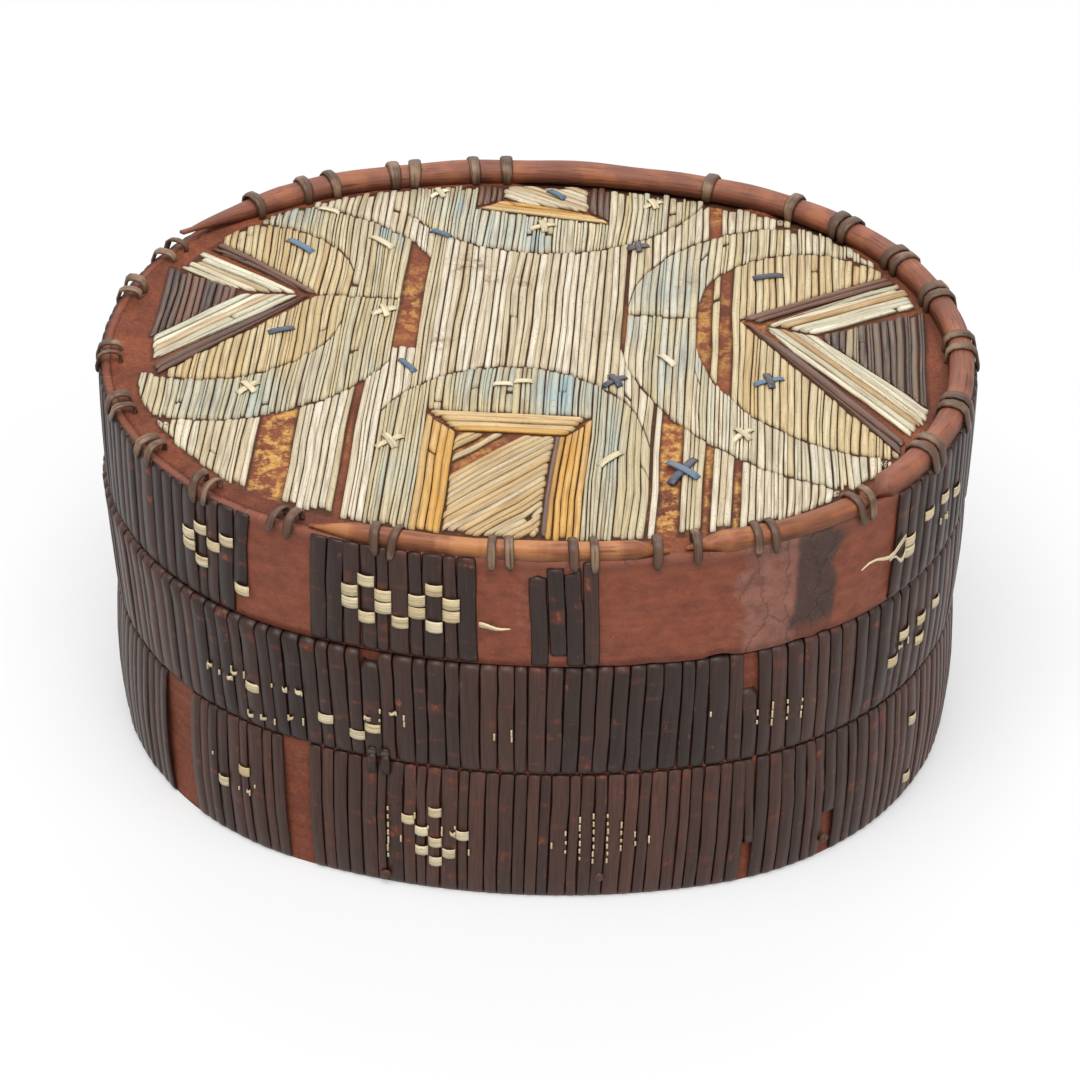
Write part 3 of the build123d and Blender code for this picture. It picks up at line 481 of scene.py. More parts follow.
def add(tree, kind, inputs=None, **settings):
    """Adds a shader node with its settings and inputs."""
    node = tree.nodes.new("ShaderNode" + kind)
    for key, value in settings.items():
        setattr(node, key, value)
    connect(tree, node, inputs or {})
    return node


def new_material(name, *attributes):
    """A node material with its tree, its shader and the attributes that it reads."""
    material = bpy.data.materials.new(name)
    material.use_nodes = True
    tree = material.node_tree
    read = []
    for attribute in attributes:
        output = "Vector" if attribute == "grain" else "Fac"
        read.append(add(tree, "Attribute", attribute_name=attribute).outputs[output])
    return material, tree, tree.nodes["Principled BSDF"], *read


def stretched(tree, place, scale, detail, roughness=0.5):
    """Noise stretched along the grain, with its scale in cells to each unit of place."""
    mapped = add(tree, "Mapping", {"Vector": place, "Scale": scale})
    return add(tree, "TexNoise", {"Vector": mapped, "Scale": 1.0, "Detail": detail, "Roughness": roughness})


def stains(tree):
    """How strongly soil stains the mosaic: round patches with ragged edges."""
    place = add(tree, "TexCoord").outputs["Object"]
    level = 0.0
    for x, y, radius, strength in SOIL_PATCHES:
        centre = (x * MM, y * MM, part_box("lid_disc")[1].z)
        gap = add(tree, "VectorMath", {0: place, 1: centre}, operation="DISTANCE")
        near = add(tree, "MapRange", {"Value": gap, "From Max": radius * MM, "To Min": strength,
                                      "To Max": 0.0})
        level = add(tree, "Math", {0: level, 1: near}, operation="MAXIMUM")
    # ragged edges about 2 mm across
    ragged = add(tree, "TexNoise", {"Vector": place, "Scale": 420.0, "Detail": 5.0, "Roughness": 0.65})
    edges = add(tree, "MapRange", {"Value": ragged, "From Min": 0.44, "From Max": 0.6})
    return add(tree, "Math", {0: level, 1: edges}, operation="MULTIPLY")


def quill_material(name, pale, warm, tinted, rough):
    """Flattened porcupine quill: a smooth horny skin with fine long streaks and a soft shine."""
    colours = bpy.context.scene.quill_box.colours
    material, tree, shader, grain, tone, tint, dirt_and_shade = new_material(name, "grain", "tone", "tint", "dirt_and_shade")
    # streaks 0.3 mm wide and 12 mm long run along each quill
    streaks = stretched(tree, grain, (3.2, 0.08, 1.0), 3.0)
    # stretches of tone about 10 mm long
    blotch = stretched(tree, grain, (0.6, 0.1, 1.0), 4.0)
    base = add(tree, "Mix", {"Factor": tone, "A": pale, "B": warm}, data_type="RGBA")
    amount = add(tree, "MapRange", {"Value": blotch, "From Min": 0.25, "From Max": 0.6, "To Min": 0.7})
    dyed = add(tree, "Math", {0: tint, 1: amount}, operation="MULTIPLY")
    colour = add(tree, "Mix", {"Factor": dyed, "A": base, "B": tinted}, data_type="RGBA")
    shade = add(tree, "MapRange", {"Value": blotch, "From Min": 0.3, "From Max": 0.7, "To Min": 1.04,
                                   "To Max": 0.84})
    shaded = add(tree, "VectorMath", {0: colour, 1: shade}, operation="MULTIPLY")
    # brown specks half a millimetre wide and twice as long
    specks = stretched(tree, grain, (2.0, 1.0, 1.0), 4.0)
    spots = add(tree, "MapRange", {"Value": specks, "From Min": 0.58, "From Max": 0.7, "To Max": 0.55})
    lines = add(tree, "MapRange", {"Value": streaks, "From Min": 0.47, "From Max": 0.66, "To Max": 0.6})
    marks = add(tree, "Math", {0: spots, 1: lines}, operation="MAXIMUM")
    stained = add(tree, "Math", {0: marks, 1: stains(tree)}, operation="MAXIMUM")
    streaked = add(tree, "Mix", {"Factor": stained, "A": shaded, "B": colours.dirt_and_shade}, data_type="RGBA")
    # patchy darkening from the dirt and painted shade attribute: painted shade along each quill's lower side
    # and in the creases between quills, and darker ends
    dirt = add(tree, "MapRange", {"Value": blotch, "From Min": 0.3, "From Max": 0.65})
    dirt_and_shade_level = add(tree, "Math", {0: dirt_and_shade, 1: dirt}, operation="MULTIPLY")
    final = add(tree, "Mix", {"Factor": dirt_and_shade_level, "A": streaked, "B": "#664d33"}, data_type="RGBA")
    bump = add(tree, "Bump", {"Height": streaks, "Strength": 0.6, "Distance": 0.12 * MM})
    connect(tree, shader, {"Base Color": final, "Normal": bump, "Roughness": rough, "IOR": 1.5})
    return material


def strip_material():
    """Split spruce root stained nearly black: dull and leathery, with a grey sheen and rusty worn spots."""
    colours = bpy.context.scene.quill_box.colours
    material, tree, shader, grain, tone, tint, dirt_and_shade = new_material(
        "stained split root", "grain", "tone", "tint", "dirt_and_shade")
    # fibres 0.5 mm wide and about 10 mm long
    fibres = stretched(tree, grain, (2.0, 0.1, 1.0), 4.0)
    base = add(tree, "Mix", {"Factor": tone, "A": colours.strip, "B": colours.strip_red}, data_type="RGBA")
    fine = add(tree, "MapRange", {"Value": fibres, "From Min": 0.35, "From Max": 0.7, "To Min": 0.72,
                                  "To Max": 1.15})
    fibred = add(tree, "VectorMath", {0: base, 1: fine}, operation="MULTIPLY")
    # worn bars about 4 mm high right across a strip, where a woven quill has gone
    worn = stretched(tree, grain, (0.1, 0.24, 1.0), 3.0)
    bars = add(tree, "MapRange", {"Value": worn, "From Min": 0.6, "From Max": 0.66, "To Max": 0.4})
    barred = add(tree, "Mix", {"Factor": bars, "A": fibred, "B": "#6a3526"}, data_type="RGBA")
    # rusty spots about 2 mm wide and 4 mm high, ragged at their edges
    bright = stretched(tree, grain, (0.45, 0.24, 1.0), 6.0, 0.65)
    spots = add(tree, "MapRange", {"Value": bright, "From Min": 0.61, "From Max": 0.72, "To Max": 0.9})
    rusty = add(tree, "Math", {0: spots, 1: tint}, operation="MULTIPLY")
    rusted = add(tree, "Mix", {"Factor": rusty, "A": barred, "B": colours.rust}, data_type="RGBA")
    # painted shade from the attribute: near black at the strips' ends, edges and backs
    final = add(tree, "Mix", {"Factor": dirt_and_shade, "A": rusted, "B": "#1d1310"}, data_type="RGBA")
    bump = add(tree, "Bump", {"Height": fibres, "Strength": 0.4, "Distance": 0.15 * MM})
    connect(tree, shader, {"Base Color": final, "Normal": bump, "Roughness": 0.42,
                           "Specular IOR Level": 0.28})
    return material


def bark_material(name):
    """Bark sheet: matt and red-brown, with faint streaks along the sheet and small pale scuffs."""
    colours = bpy.context.scene.quill_box.colours
    material, tree, shader = new_material(name)
    place = add(tree, "TexCoord").outputs["Object"]
    # streaks about 2 mm high and 20 mm long, level round the wall
    streaks = stretched(tree, place, (60.0, 60.0, 500.0), 5.0)
    dark = add(tree, "MapRange", {"Value": streaks, "From Min": 0.4, "From Max": 0.7, "To Max": 0.5})
    base = add(tree, "Mix", {"Factor": dark, "A": colours.bark, "B": colours.bark_deep}, data_type="RGBA")
    # mottling about 5 mm across
    mottle = add(tree, "TexNoise", {"Vector": place, "Scale": 190.0, "Detail": 6.0, "Roughness": 0.65})
    patches = add(tree, "MapRange", {"Value": mottle, "From Min": 0.55, "From Max": 0.75, "To Max": 0.25})
    flecked = add(tree, "Mix", {"Factor": patches, "A": base, "B": colours.bark_fleck}, data_type="RGBA")
    # pits under a millimetre
    pits = add(tree, "TexNoise", {"Vector": place, "Scale": 1100.0, "Detail": 3.0})
    specks = add(tree, "MapRange", {"Value": pits, "From Min": 0.35, "From Max": 0.7, "To Min": 0.8,
                                    "To Max": 1.12})
    final = add(tree, "VectorMath", {0: flecked, 1: specks}, operation="MULTIPLY")
    bump = add(tree, "Bump", {"Height": mottle, "Strength": 0.5, "Distance": 0.4 * MM})
    connect(tree, shader, {"Base Color": final, "Normal": bump, "Roughness": 0.7, "Specular IOR Level": 0.25})
    return material


def band_material():
    """The lid's bark band: matt red-brown, with pale specks, a rubbed stretch and a creased dark stain."""
    colours = bpy.context.scene.quill_box.colours
    material, tree, shader, grain, tint, dirt_and_shade = new_material("weathered bark band", "grain", "tint", "dirt_and_shade")
    # streaks about 3 mm high and 17 mm long
    streaks = stretched(tree, grain, (0.06, 0.35, 1.0), 6.0, 0.62)
    dark = add(tree, "MapRange", {"Value": streaks, "From Min": 0.42, "From Max": 0.8, "To Max": 0.6})
    base = add(tree, "Mix", {"Factor": dark, "A": colours.bark, "B": colours.bark_deep}, data_type="RGBA")
    # scuffs about 4 mm across
    scuffs = add(tree, "TexNoise", {"Vector": grain, "Scale": 0.25, "Detail": 6.0, "Roughness": 0.7})
    ragged = add(tree, "Math", {0: scuffs, 1: tint}, operation="ADD")
    faded = add(tree, "MapRange", {"Value": ragged, "From Min": 0.74, "From Max": 1.22, "To Max": 0.85})
    pink = add(tree, "Mix", {"Factor": faded, "A": base, "B": "#8a5f52"}, data_type="RGBA")
    # the dark stain, and darker towards the top edge, from the attribute
    rough_edge = add(tree, "Math", {0: scuffs, 1: dirt_and_shade}, operation="ADD")
    stain = add(tree, "MapRange", {"Value": rough_edge, "From Min": 0.78, "From Max": 1.2, "To Max": 0.95})
    stained = add(tree, "Mix", {"Factor": stain, "A": pink, "B": "#43342e"}, data_type="RGBA")
    # creases that run aslant through the rubbed and stained stretches, 7 to 20 mm apart, darkened along their
    # lines as painted shade
    bent = add(tree, "VectorMath", {0: scuffs.outputs["Color"], 1: (7.0, 7.0, 0.0), 2: grain},
               operation="MULTIPLY_ADD")
    slant = add(tree, "Mapping", {"Vector": bent, "Rotation": (0.0, 0.0, 0.6), "Scale": (0.13, 0.05, 1.0)})
    folds = add(tree, "TexVoronoi", {"Vector": slant, "Scale": 1.0}, feature="DISTANCE_TO_EDGE")
    line = add(tree, "MapRange", {"Value": folds, "From Max": 0.03, "To Min": 0.5, "To Max": 0.0})
    rubbed = add(tree, "Math", {0: faded, 1: stain}, operation="MAXIMUM")
    crease = add(tree, "Math", {0: line, 1: rubbed}, operation="MULTIPLY")
    creased = add(tree, "Mix", {"Factor": crease, "A": stained, "B": "#2a1c17"}, data_type="RGBA")
    # pale specks under half a millimetre
    grit = add(tree, "TexNoise", {"Vector": grain, "Scale": 1.9, "Detail": 3.0})
    specks = add(tree, "MapRange", {"Value": grit, "From Min": 0.63, "From Max": 0.73, "To Max": 0.5})
    speckled = add(tree, "Mix", {"Factor": specks, "A": creased, "B": "#b08366"}, data_type="RGBA")
    light = add(tree, "MapRange", {"Value": scuffs, "From Min": 0.3, "From Max": 0.72, "To Min": 0.76,
                                   "To Max": 1.34})
    final = add(tree, "VectorMath", {0: speckled, 1: light}, operation="MULTIPLY")
    relief = add(tree, "Math", {0: scuffs, 1: crease}, operation="SUBTRACT")
    bump = add(tree, "Bump", {"Height": relief, "Strength": 0.6, "Distance": 0.5 * MM})
    connect(tree, shader, {"Base Color": final, "Normal": bump, "Roughness": 0.6, "Specular IOR Level": 0.25})
    return material


def wood_material(name, colour, deep, bare, rough):
    """Split rod or root: long fibres, peeled paler stretches, dark cracks along it and a low shine."""
    material, tree, shader, grain, tone, dirt_and_shade = new_material(name, "grain", "tone", "dirt_and_shade")
    # fibres 0.6 mm wide and 15 mm long
    fibres = stretched(tree, grain, (1.6, 0.07, 1.0), 5.0, 0.6)
    lines = add(tree, "MapRange", {"Value": fibres, "From Min": 0.4, "From Max": 0.75})
    mixed = add(tree, "Math", {0: lines, 1: tone}, operation="MULTIPLY")
    base = add(tree, "Mix", {"Factor": mixed, "A": colour, "B": deep}, data_type="RGBA")
    # bands of tone about 11 mm long
    bands = stretched(tree, grain, (0.08, 0.09, 1.0), 4.0)
    peeled = add(tree, "MapRange", {"Value": bands, "From Min": 0.5, "From Max": 0.6, "To Max": 0.75})
    patched = add(tree, "Mix", {"Factor": peeled, "A": base, "B": bare}, data_type="RGBA")
    shade = add(tree, "MapRange", {"Value": bands, "From Min": 0.3, "From Max": 0.6, "To Min": 0.74,
                                   "To Max": 1.06})
    shaded = add(tree, "VectorMath", {0: patched, 1: shade}, operation="MULTIPLY")
    cracks = add(tree, "MapRange", {"Value": fibres, "From Min": 0.56, "From Max": 0.66, "To Max": 0.8})
    # dark cracks, and dirt and painted shade from the attribute: darker patches and tips on the hoop and
    # splints, painted shade at the lashings' ends and edges
    cracks_dirt_and_shade = add(tree, "Math", {0: cracks, 1: dirt_and_shade}, operation="MAXIMUM")
    final = add(tree, "Mix", {"Factor": cracks_dirt_and_shade, "A": shaded, "B": deep}, data_type="RGBA")
    bump = add(tree, "Bump", {"Height": fibres, "Strength": 0.6, "Distance": 0.3 * MM}, invert=True)
    connect(tree, shader, {"Base Color": final, "Normal": bump, "Roughness": rough,
                           "Specular IOR Level": 0.3})
    return material


def disc_material():
    """Peeled bark: matt red-brown, with mustard flecks on the bare patches, and painted shade under the
    quills and in the sunk groove at the back.
    """
    colours = bpy.context.scene.quill_box.colours
    material, tree, shader, tint, dirt_and_shade = new_material("peeled and flecked bark", "tint", "dirt_and_shade")
    place = add(tree, "TexCoord").outputs["Object"]
    # broad patches about 15 mm across
    broad = add(tree, "TexNoise", {"Vector": place, "Scale": 65.0, "Detail": 3.0})
    fresh = add(tree, "MapRange", {"Value": broad, "From Min": 0.35, "From Max": 0.65})
    base = add(tree, "Mix", {"Factor": fresh, "A": "#5f3225", "B": "#82482f"}, data_type="RGBA")
    # ragged flecks about 4 mm across
    flecks = add(tree, "TexNoise", {"Vector": place, "Scale": 210.0, "Detail": 8.0, "Roughness": 0.7})
    edges = add(tree, "MapRange", {"Value": flecks, "From Min": 0.46, "From Max": 0.56})
    spots = add(tree, "Math", {0: edges, 1: tint}, operation="MULTIPLY")
    flecked = add(tree, "Mix", {"Factor": spots, "A": base, "B": colours.bark_fleck}, data_type="RGBA")
    # crumbs of bark under a millimetre
    crumbs = add(tree, "TexNoise", {"Vector": place, "Scale": 1300.0, "Detail": 4.0})
    specks = add(tree, "MapRange", {"Value": crumbs, "From Min": 0.3, "From Max": 0.7, "To Min": 0.7,
                                    "To Max": 1.2})
    crumbed = add(tree, "VectorMath", {0: flecked, 1: specks}, operation="MULTIPLY")
    # painted shade from the attribute, under the quills and in the sunk groove, with the darker rim patches
    final = add(tree, "Mix", {"Factor": dirt_and_shade, "A": crumbed, "B": "#46291b"}, data_type="RGBA")
    bump = add(tree, "Bump", {"Height": crumbs, "Strength": 0.5, "Distance": 0.3 * MM})
    connect(tree, shader, {"Base Color": final, "Normal": bump, "Roughness": 0.75, "Specular IOR Level": 0.2})
    return material


class QUILLBOX_OT_bark_parts(bpy.types.Operator):
    """Gives the base, collar and rings of bark their finish"""
    bl_idname = "quillbox.bark_parts"
    bl_label = "Bark Parts"

    def execute(self, context):
        plain = bark_material("inner bark")
        for node in ("base_panel", "inner_collar", "lower_hoop", "upper_hoop"):
            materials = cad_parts[node].data.materials
            materials.clear()
            materials.append(plain)
        return {"FINISHED"}


def quill_ends(solid):
    """The four foot corners of a ridged CAD quill: near left, near right, far left and far right."""
    by_height = sorted(solid, key=lambda p: p.z)
    near, far = sorted(by_height[-2:], key=lambda p: (p.x + p.y * 1.7, p.x))
    run = (far - near).to_2d().normalized()
    side = Vector((run.y, -run.x))
    feet = sorted(by_height[:4], key=lambda p: (p - near).to_2d().dot(run))
    right = [p for p in feet if (p - near).to_2d().dot(side) > 0]
    left = [p for p in feet if (p - near).to_2d().dot(side) <= 0]
    return left[0], right[0], left[-1], right[-1]


def quill_length(corners):
    """Length of a quill between the middles of its ends."""
    near_left, near_right, far_left, far_right = corners
    return ((far_left + far_right) / 2 - (near_left + near_right) / 2).length


def strayed(point):
    """Moves a point of the mosaic a little; neighbours stray together, so quills lean and differ in width."""
    stray = bpy.context.scene.quill_box.quill_stray
    x, y = point.x / MM, point.y / MM
    calm = fade(along_oval(point)[1] / MM, -99, -12, 3.5)
    lean = noise.noise((x / 13, y / 24, 3.1)) + 0.55 * noise.noise((x / 2.3, y / 27, 8.4))
    return point + Vector((stray * calm * lean, 0.6 * stray * calm * noise.noise((x / 1.9, y / 30, 5.7)), 0))


def lay_quill(shape, template, corners, rng, tone, tint_at, split):
    """A quill over a CAD quill's foot; a few are broken across, and a few are two thinner quills."""
    near_left, near_right, far_left, far_right = corners
    length = quill_length(corners)
    spans = [(0.0, 1.0)]
    if length > LONG_QUILL and rng.random() < BROKEN_SHARE:
        cut, gap = rng.uniform(0.12, 0.88), rng.uniform(0.2, 0.8) * MM / length
        spans = [(0.0, cut - gap), (cut + gap, 1.0)]
    sides = [(0.0, 1.0)]
    if rng.random() < split:
        joint = rng.uniform(0.38, 0.62)
        sides = [(0.0, joint), (joint, 1.0)]
    for left, right in sides:
        for low, high in spans:
            near = [near_left.lerp(near_right, share) for share in (left, right)]
            far = [far_left.lerp(far_right, share) for share in (left, right)]
            ends = [a.lerp(b, share) for share in (low, high) for a, b in zip(near, far)]
            round_quill(shape, template, ends, rng, min(1.0, tone + rng.uniform(0, 0.2)), tint_at)


def round_quill(shape, template, corners, rng, tone, tint_at):
    """A plump quill between two blunt ends, which are drawn down into the bark."""
    near_left, near_right, far_left, far_right = corners
    length = quill_length(corners)
    tuck = min(1.0, length / SHORT_QUILL)
    stops = [0, 0.3 * MM * tuck, BLUNT_END * tuck, length * 0.36, length * 0.64]
    stops += [length - stop for stop in reversed(stops[:3])]
    widths = (0.66, 0.95, 1.0, 1.0, 1.0, 1.0, 0.95, 0.66)
    heights = (0.15, 0.7, 1.0, 1.0, 1.0, 1.0, 0.7, 0.15)
    girth = rng.uniform(1.02, 1.12)
    sway = rng.uniform(-0.16, 0.16) * MM
    tilt = rng.uniform(-0.2, 0.2) * MM
    ragged = [rng.uniform(-0.45, 0.45) * MM * tuck for _ in range(2)]
    for index, end in enumerate(((near_left + near_right) / 2, (far_left + far_right) / 2)):
        if along_oval(end)[1] > RIM_ZONE:
            ragged[index] += (1 - 2 * index) * rng.choice((0.0, 0.0, 0.4, 1.0, 1.8)) * MM * tuck
    rise = bpy.context.scene.quill_box.quill_height * rng.uniform(0.75, 1.1)
    dirt_and_shade_level = rng.uniform(0.2, 0.7)
    offset = rng.uniform(0, 1000)

    def place(x, y, share):
        step = round(share * QUILL_STEPS)
        run = stops[step]
        reach = (run + ragged[step > QUILL_STEPS / 2]) / length
        left = near_left.lerp(far_left, reach)
        right = near_right.lerp(far_right, reach)
        half = (right - left) / 2
        full = abs(x) ** 0.6 * sign(x) * girth * widths[step]
        point = strayed((left + right) / 2 + half * full)
        point += half.normalized() * (sway + tilt * (share - 0.5))
        point.z += rise * heights[step] * max(y, 0) ** 0.62
        end = 1.0 - min(1.0, min(run, length - run) / BLUNT_END)
        # painted shade: the quill's lower side, down in the creases between neighbours, is darkened; the
        # blunt ends are darkened by a random amount too
        groove_shade = 0.0 if y > 0.1 else 0.75 if y > -0.1 else 1.0
        tint = tint_at(point.x / MM, point.y / MM)
        return point, (x * half.length / MM, run / MM, offset), tint, max(dirt_and_shade_level * end, groove_shade)

    add_rod(shape, template, tone, place)


def blue_tint(rng):
    """How much blue dye a quill keeps: a trace everywhere and more in some patches."""
    level = rng.choice((0.0, 0.0, 0.05, 0.2))
    boost = rng.uniform(0.4, 1.25)
    return lambda x, y: min(1.0, level + boost * patch_strength(BLUE_PATCHES, x, y))


class QUILLBOX_OT_lid_disc(bpy.types.Operator):
    """Makes the lid's bark disc, flecked where it is bare, broken at the left rim and sunk along the back"""
    bl_idname = "quillbox.lid_disc"
    bl_label = "Lid Disc"

    def execute(self, context):
        quilled = self.quilled()
        bottom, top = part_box("lid_disc")[0].z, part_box("lid_disc")[1].z
        edge = -(HALF_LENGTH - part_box("lid_disc")[1].x)
        shape = bmesh.new()
        bmesh.ops.create_grid(shape, x_segments=DISC_COLUMNS, y_segments=DISC_ROWS, size=1)
        bmesh.ops.scale(shape, vec=(HALF_LENGTH, HALF_WIDTH, 1), verts=shape.verts)
        bmesh.ops.translate(shape, vec=(0, 0, top), verts=shape.verts)
        outside = [vert for vert in shape.verts if along_oval(vert.co)[1] > edge + 0.4 * MM]
        bmesh.ops.delete(shape, geom=outside, context="VERTS")
        _, _, tint, dirt_and_shade = with_layers(shape)
        for vert in shape.verts:
            distance, offset = along_oval(vert.co)
            x, y = vert.co.x / MM, vert.co.y / MM
            sunk = 0.0
            if y > 0:
                sunk = max(fade(x, -8, 48, 4), fade(x, 60, 76, 4)) * fade(offset / MM, -8.8, 0, 0.8)
            rim = fade(offset / MM, -8.6, 0, 0.8)
            broken = rim * fade(x, -200, -62, 8) * fade(y, -90, 46, 6)
            ledge = 0.5 * rim * fade(x, 86, 200, 6)
            vert[tint] = patch_strength(FLECK_PATCHES, x, y) * (1.0 - rim)
            _, _, gap = quilled.find((x, y, 0))
            # painted shade: dark in the sunk groove along the back and where quills cover the disc; also half
            # dark along the right rim, and dark in patches where the left rim is broken
            vert[dirt_and_shade] = max(sunk, ledge, 1.0 - fade(gap, 0.68, 99, 0.3),
                             0.75 * broken * max(0.0, noise.noise((x / 2.1, y / 2.1, 7.7))))
            relief = 0.1 * noise.noise((x / 4, y / 6, 0.5))
            relief += 1.3 * broken * abs(noise.noise((x / 2.6, y / 2.6, 2.5)))
            vert.co.z += (relief - 1.1 * sunk) * MM
            if vert.is_boundary:
                vert.co = at(distance, edge, vert.co.z)
        under = bmesh.ops.extrude_face_region(shape, geom=shape.faces[:])["geom"]
        for vert in [item for item in under if isinstance(item, bmesh.types.BMVert)]:
            vert.co.z = bottom
            vert[dirt_and_shade] = 0.0
        under_faces = [item for item in under if isinstance(item, bmesh.types.BMFace)]
        bmesh.ops.dissolve_faces(shape, faces=under_faces)
        finish_piece(shape, "lid_disc_bark", "lid", "bark", disc_material(), "lid_disc")
        return {"FINISHED"}

    def quilled(self):
        """Points in millimetres along the middles and edges of the quills, where they cover the disc."""
        points = []
        for node in sum(FIELDS.values(), ()):
            for solid in solids_of(node):
                near_left, near_right, far_left, far_right = quill_ends(solid)
                count = max(2, round((far_left - near_left).length / COVER_PITCH))
                for i in range(count + 1):
                    left, right = near_left.lerp(far_left, i / count), near_right.lerp(far_right, i / count)
                    points += [strayed(left.lerp(right, share)) for share in (0.0, 0.5, 1.0)]
        tree = kdtree.KDTree(len(points))
        for index, point in enumerate(points):
            tree.insert((point.x / MM, point.y / MM, 0), index)
        tree.balance()
        return tree


class QUILLBOX_OT_lid_band(bpy.types.Operator):
    """Makes the lid's bark band, with its weathered stretches and torn lower edge"""
    bl_idname = "quillbox.lid_band"
    bl_label = "Lid Band"

    def execute(self, context):
        low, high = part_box("lid_band")[0].z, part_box("lid_band")[1].z
        levels = [low + (high - low) * i / BAND_ROWS for i in range(BAND_ROWS + 1)]
        outline = [(-BAND_SET, z) for z in levels] + [(-BAND_SET - BAND_WALL, z) for z in reversed(levels)]
        shape = bmesh.new()
        sweep(shape, outline, 0, PERIMETER, BAND_STEP)
        grain, _, tint, dirt_and_shade = with_layers(shape)
        for vert in shape.verts:
            distance, offset = along_oval(vert.co)
            s, z = distance / MM, vert.co.z
            share = (z - low) / (high - low)
            torn = fade(s, 20, 97, 3) * fade(share, 0, 0.02, 0.35)
            notch = torn * max(0.0, 1.8 * noise.noise((s / 9, 4.1, 0)) + 0.5 * noise.noise((s / 2.2, 9.7, 0)))
            buckle = 0.3 * noise.noise((s / 14, share * 2.5, 2.2)) * fade(share, 0.15, 0.85, 0.15)
            bare = max(fade(s, -66, -49, 2), fade(s, -8, 3, 2), fade(s, 20, 98, 2))
            vert.co = at(distance, offset + min(buckle * bare, 0.3) * MM, z + notch * MM)
            vert[grain] = (s, z / MM, 0.0)
            stray = s + 3.5 * noise.noise((s / 7, share * 4, 6.1))
            vert[tint] = 0.7 * fade(stray, 56, 68, 4) + 0.3 * fade(stray, 3, 20, 3)
            # a dark stain over one stretch, and darker towards the top edge
            vert[dirt_and_shade] = max(0.75 * fade(stray, 69, 79, 3) * fade(share, 0.2, 1.0, 0.3),
                             0.4 * fade(share, 0.9, 1.0, 0.12))
        finish_piece(shape, "lid_band_bark", "lid", "bark", band_material(), "lid_band")
        return {"FINISHED"}


class Strip:
    """A strip's two edges as arc lengths, its inner face, its two ends and whether they are torn."""

    def __init__(self, start, end, inner, low, high):
        self.start, self.end, self.inner, self.low, self.high = start, end, inner, low, high
        self.torn = (False, False)


def strip_place(solid):
    """The strip that a CAD strip's corner points stand for."""
    reach = max(along_oval(p)[1] for p in solid)
    front = [p for p in solid if along_oval(p)[1] > reach - 0.3 * MM]
    distance, face = along_oval(middle_of(front))
    half = max(abs(gap) for gap in beside(distance, front))
    heights = [p.z for p in solid]
    return Strip(distance - half, distance + half, face - STRIP_WALL, min(heights), max(heights))


def strip_path(strip, thickness, node, turned):
    """Points across the wall that a strip follows, drawn in at both edges, or turned over the top edge."""
    inner, low, high = strip.inner, strip.low, strip.high
    middle = inner + thickness / 2
    distance = (strip.start + strip.end) / 2

    def wall(height):
        return middle + swell(node, distance, height), height

    path = [(inner - 0.4 * MM, low + 0.36 * MM), (middle - 0.3 * MM, low + 0.7 * MM), wall(low + 1.8 * MM)]
    path += [wall(low + (high - low) * share) for share in (0.2, 0.4, 0.6, 0.8)]
    if turned:
        shoulder = wall(high - 1.5 * MM)
        bend = (shoulder[0] - 0.7 * MM, high - 0.5 * MM)
        return path + [shoulder, bend, (inner - 2.0 * MM, high - 0.45 * MM)]
    bend = (middle - 0.1 * MM, high - 0.6 * MM)
    return path + [wall(high - 1.8 * MM), bend, (inner - 0.2 * MM, high - 0.2 * MM)]


def lay_strip(shape, template, strip, path, rng, tone, tint, thickness):
    """A root strip that follows a path of offsets and heights across the wall."""
    lean = bpy.context.scene.quill_box.strip_lean
    middle, half_width = (strip.start + strip.end) / 2, (strip.end - strip.start) / 2
    offset = rng.uniform(0, 1000)
    low, high = path[0][1], path[-1][1]
    waves = rng.uniform(0, 100)
    lift = rng.uniform(-0.15, 0.22) * MM
    roll = rng.uniform(-0.16, 0.16) * MM

    def place(x, y, share):
        step = round(share * (len(path) - 1))
        reach, height = path[step]
        normal = square_to(path, step)
        level = (height - low) / (high - low) - 0.5
        slant = lean * noise.noise((middle / (40 * MM), 7.3, low * 50)) * level
        wave = 0.3 * MM * noise.noise((waves, height / (9 * MM), 0))
        full = abs(x) ** 0.5 * sign(x)
        width = half_width * (1 + 0.07 * noise.noise((waves, height / (7 * MM), full)))
        crown = thickness / 2 * (y if y > 0.1 else -0.4 if y > -0.1 else -1.0)
        lifted = (lift + x * roll) * sin(pi * share)
        if strip.torn[share > 0.5]:
            tear = max(0.0, 1 - 9 * min(share, 1 - share))
            height += tear * 2.2 * MM * noise.noise((waves + 1.3 * x, share * 9, 0))
        along = middle + full * width + slant + wave
        point = at(along, reach + lifted + normal.x * crown, height + normal.y * crown)
        # painted shade: near black at both ends, where the strip turns in at the ring joints, on its edges
        # and back that show in the gaps, and slightly darker towards its edges
        ends = max(0.0, 1.0 - min(share, 1 - share) * 12)
        dirt_and_shade = max(0.8 * ends, 0.9 if y < 0.1 else 0.1 * abs(x))
        return point, (x * half_width / MM, height / MM, offset), tint, dirt_and_shade

    add_rod(shape, template, tone, place)


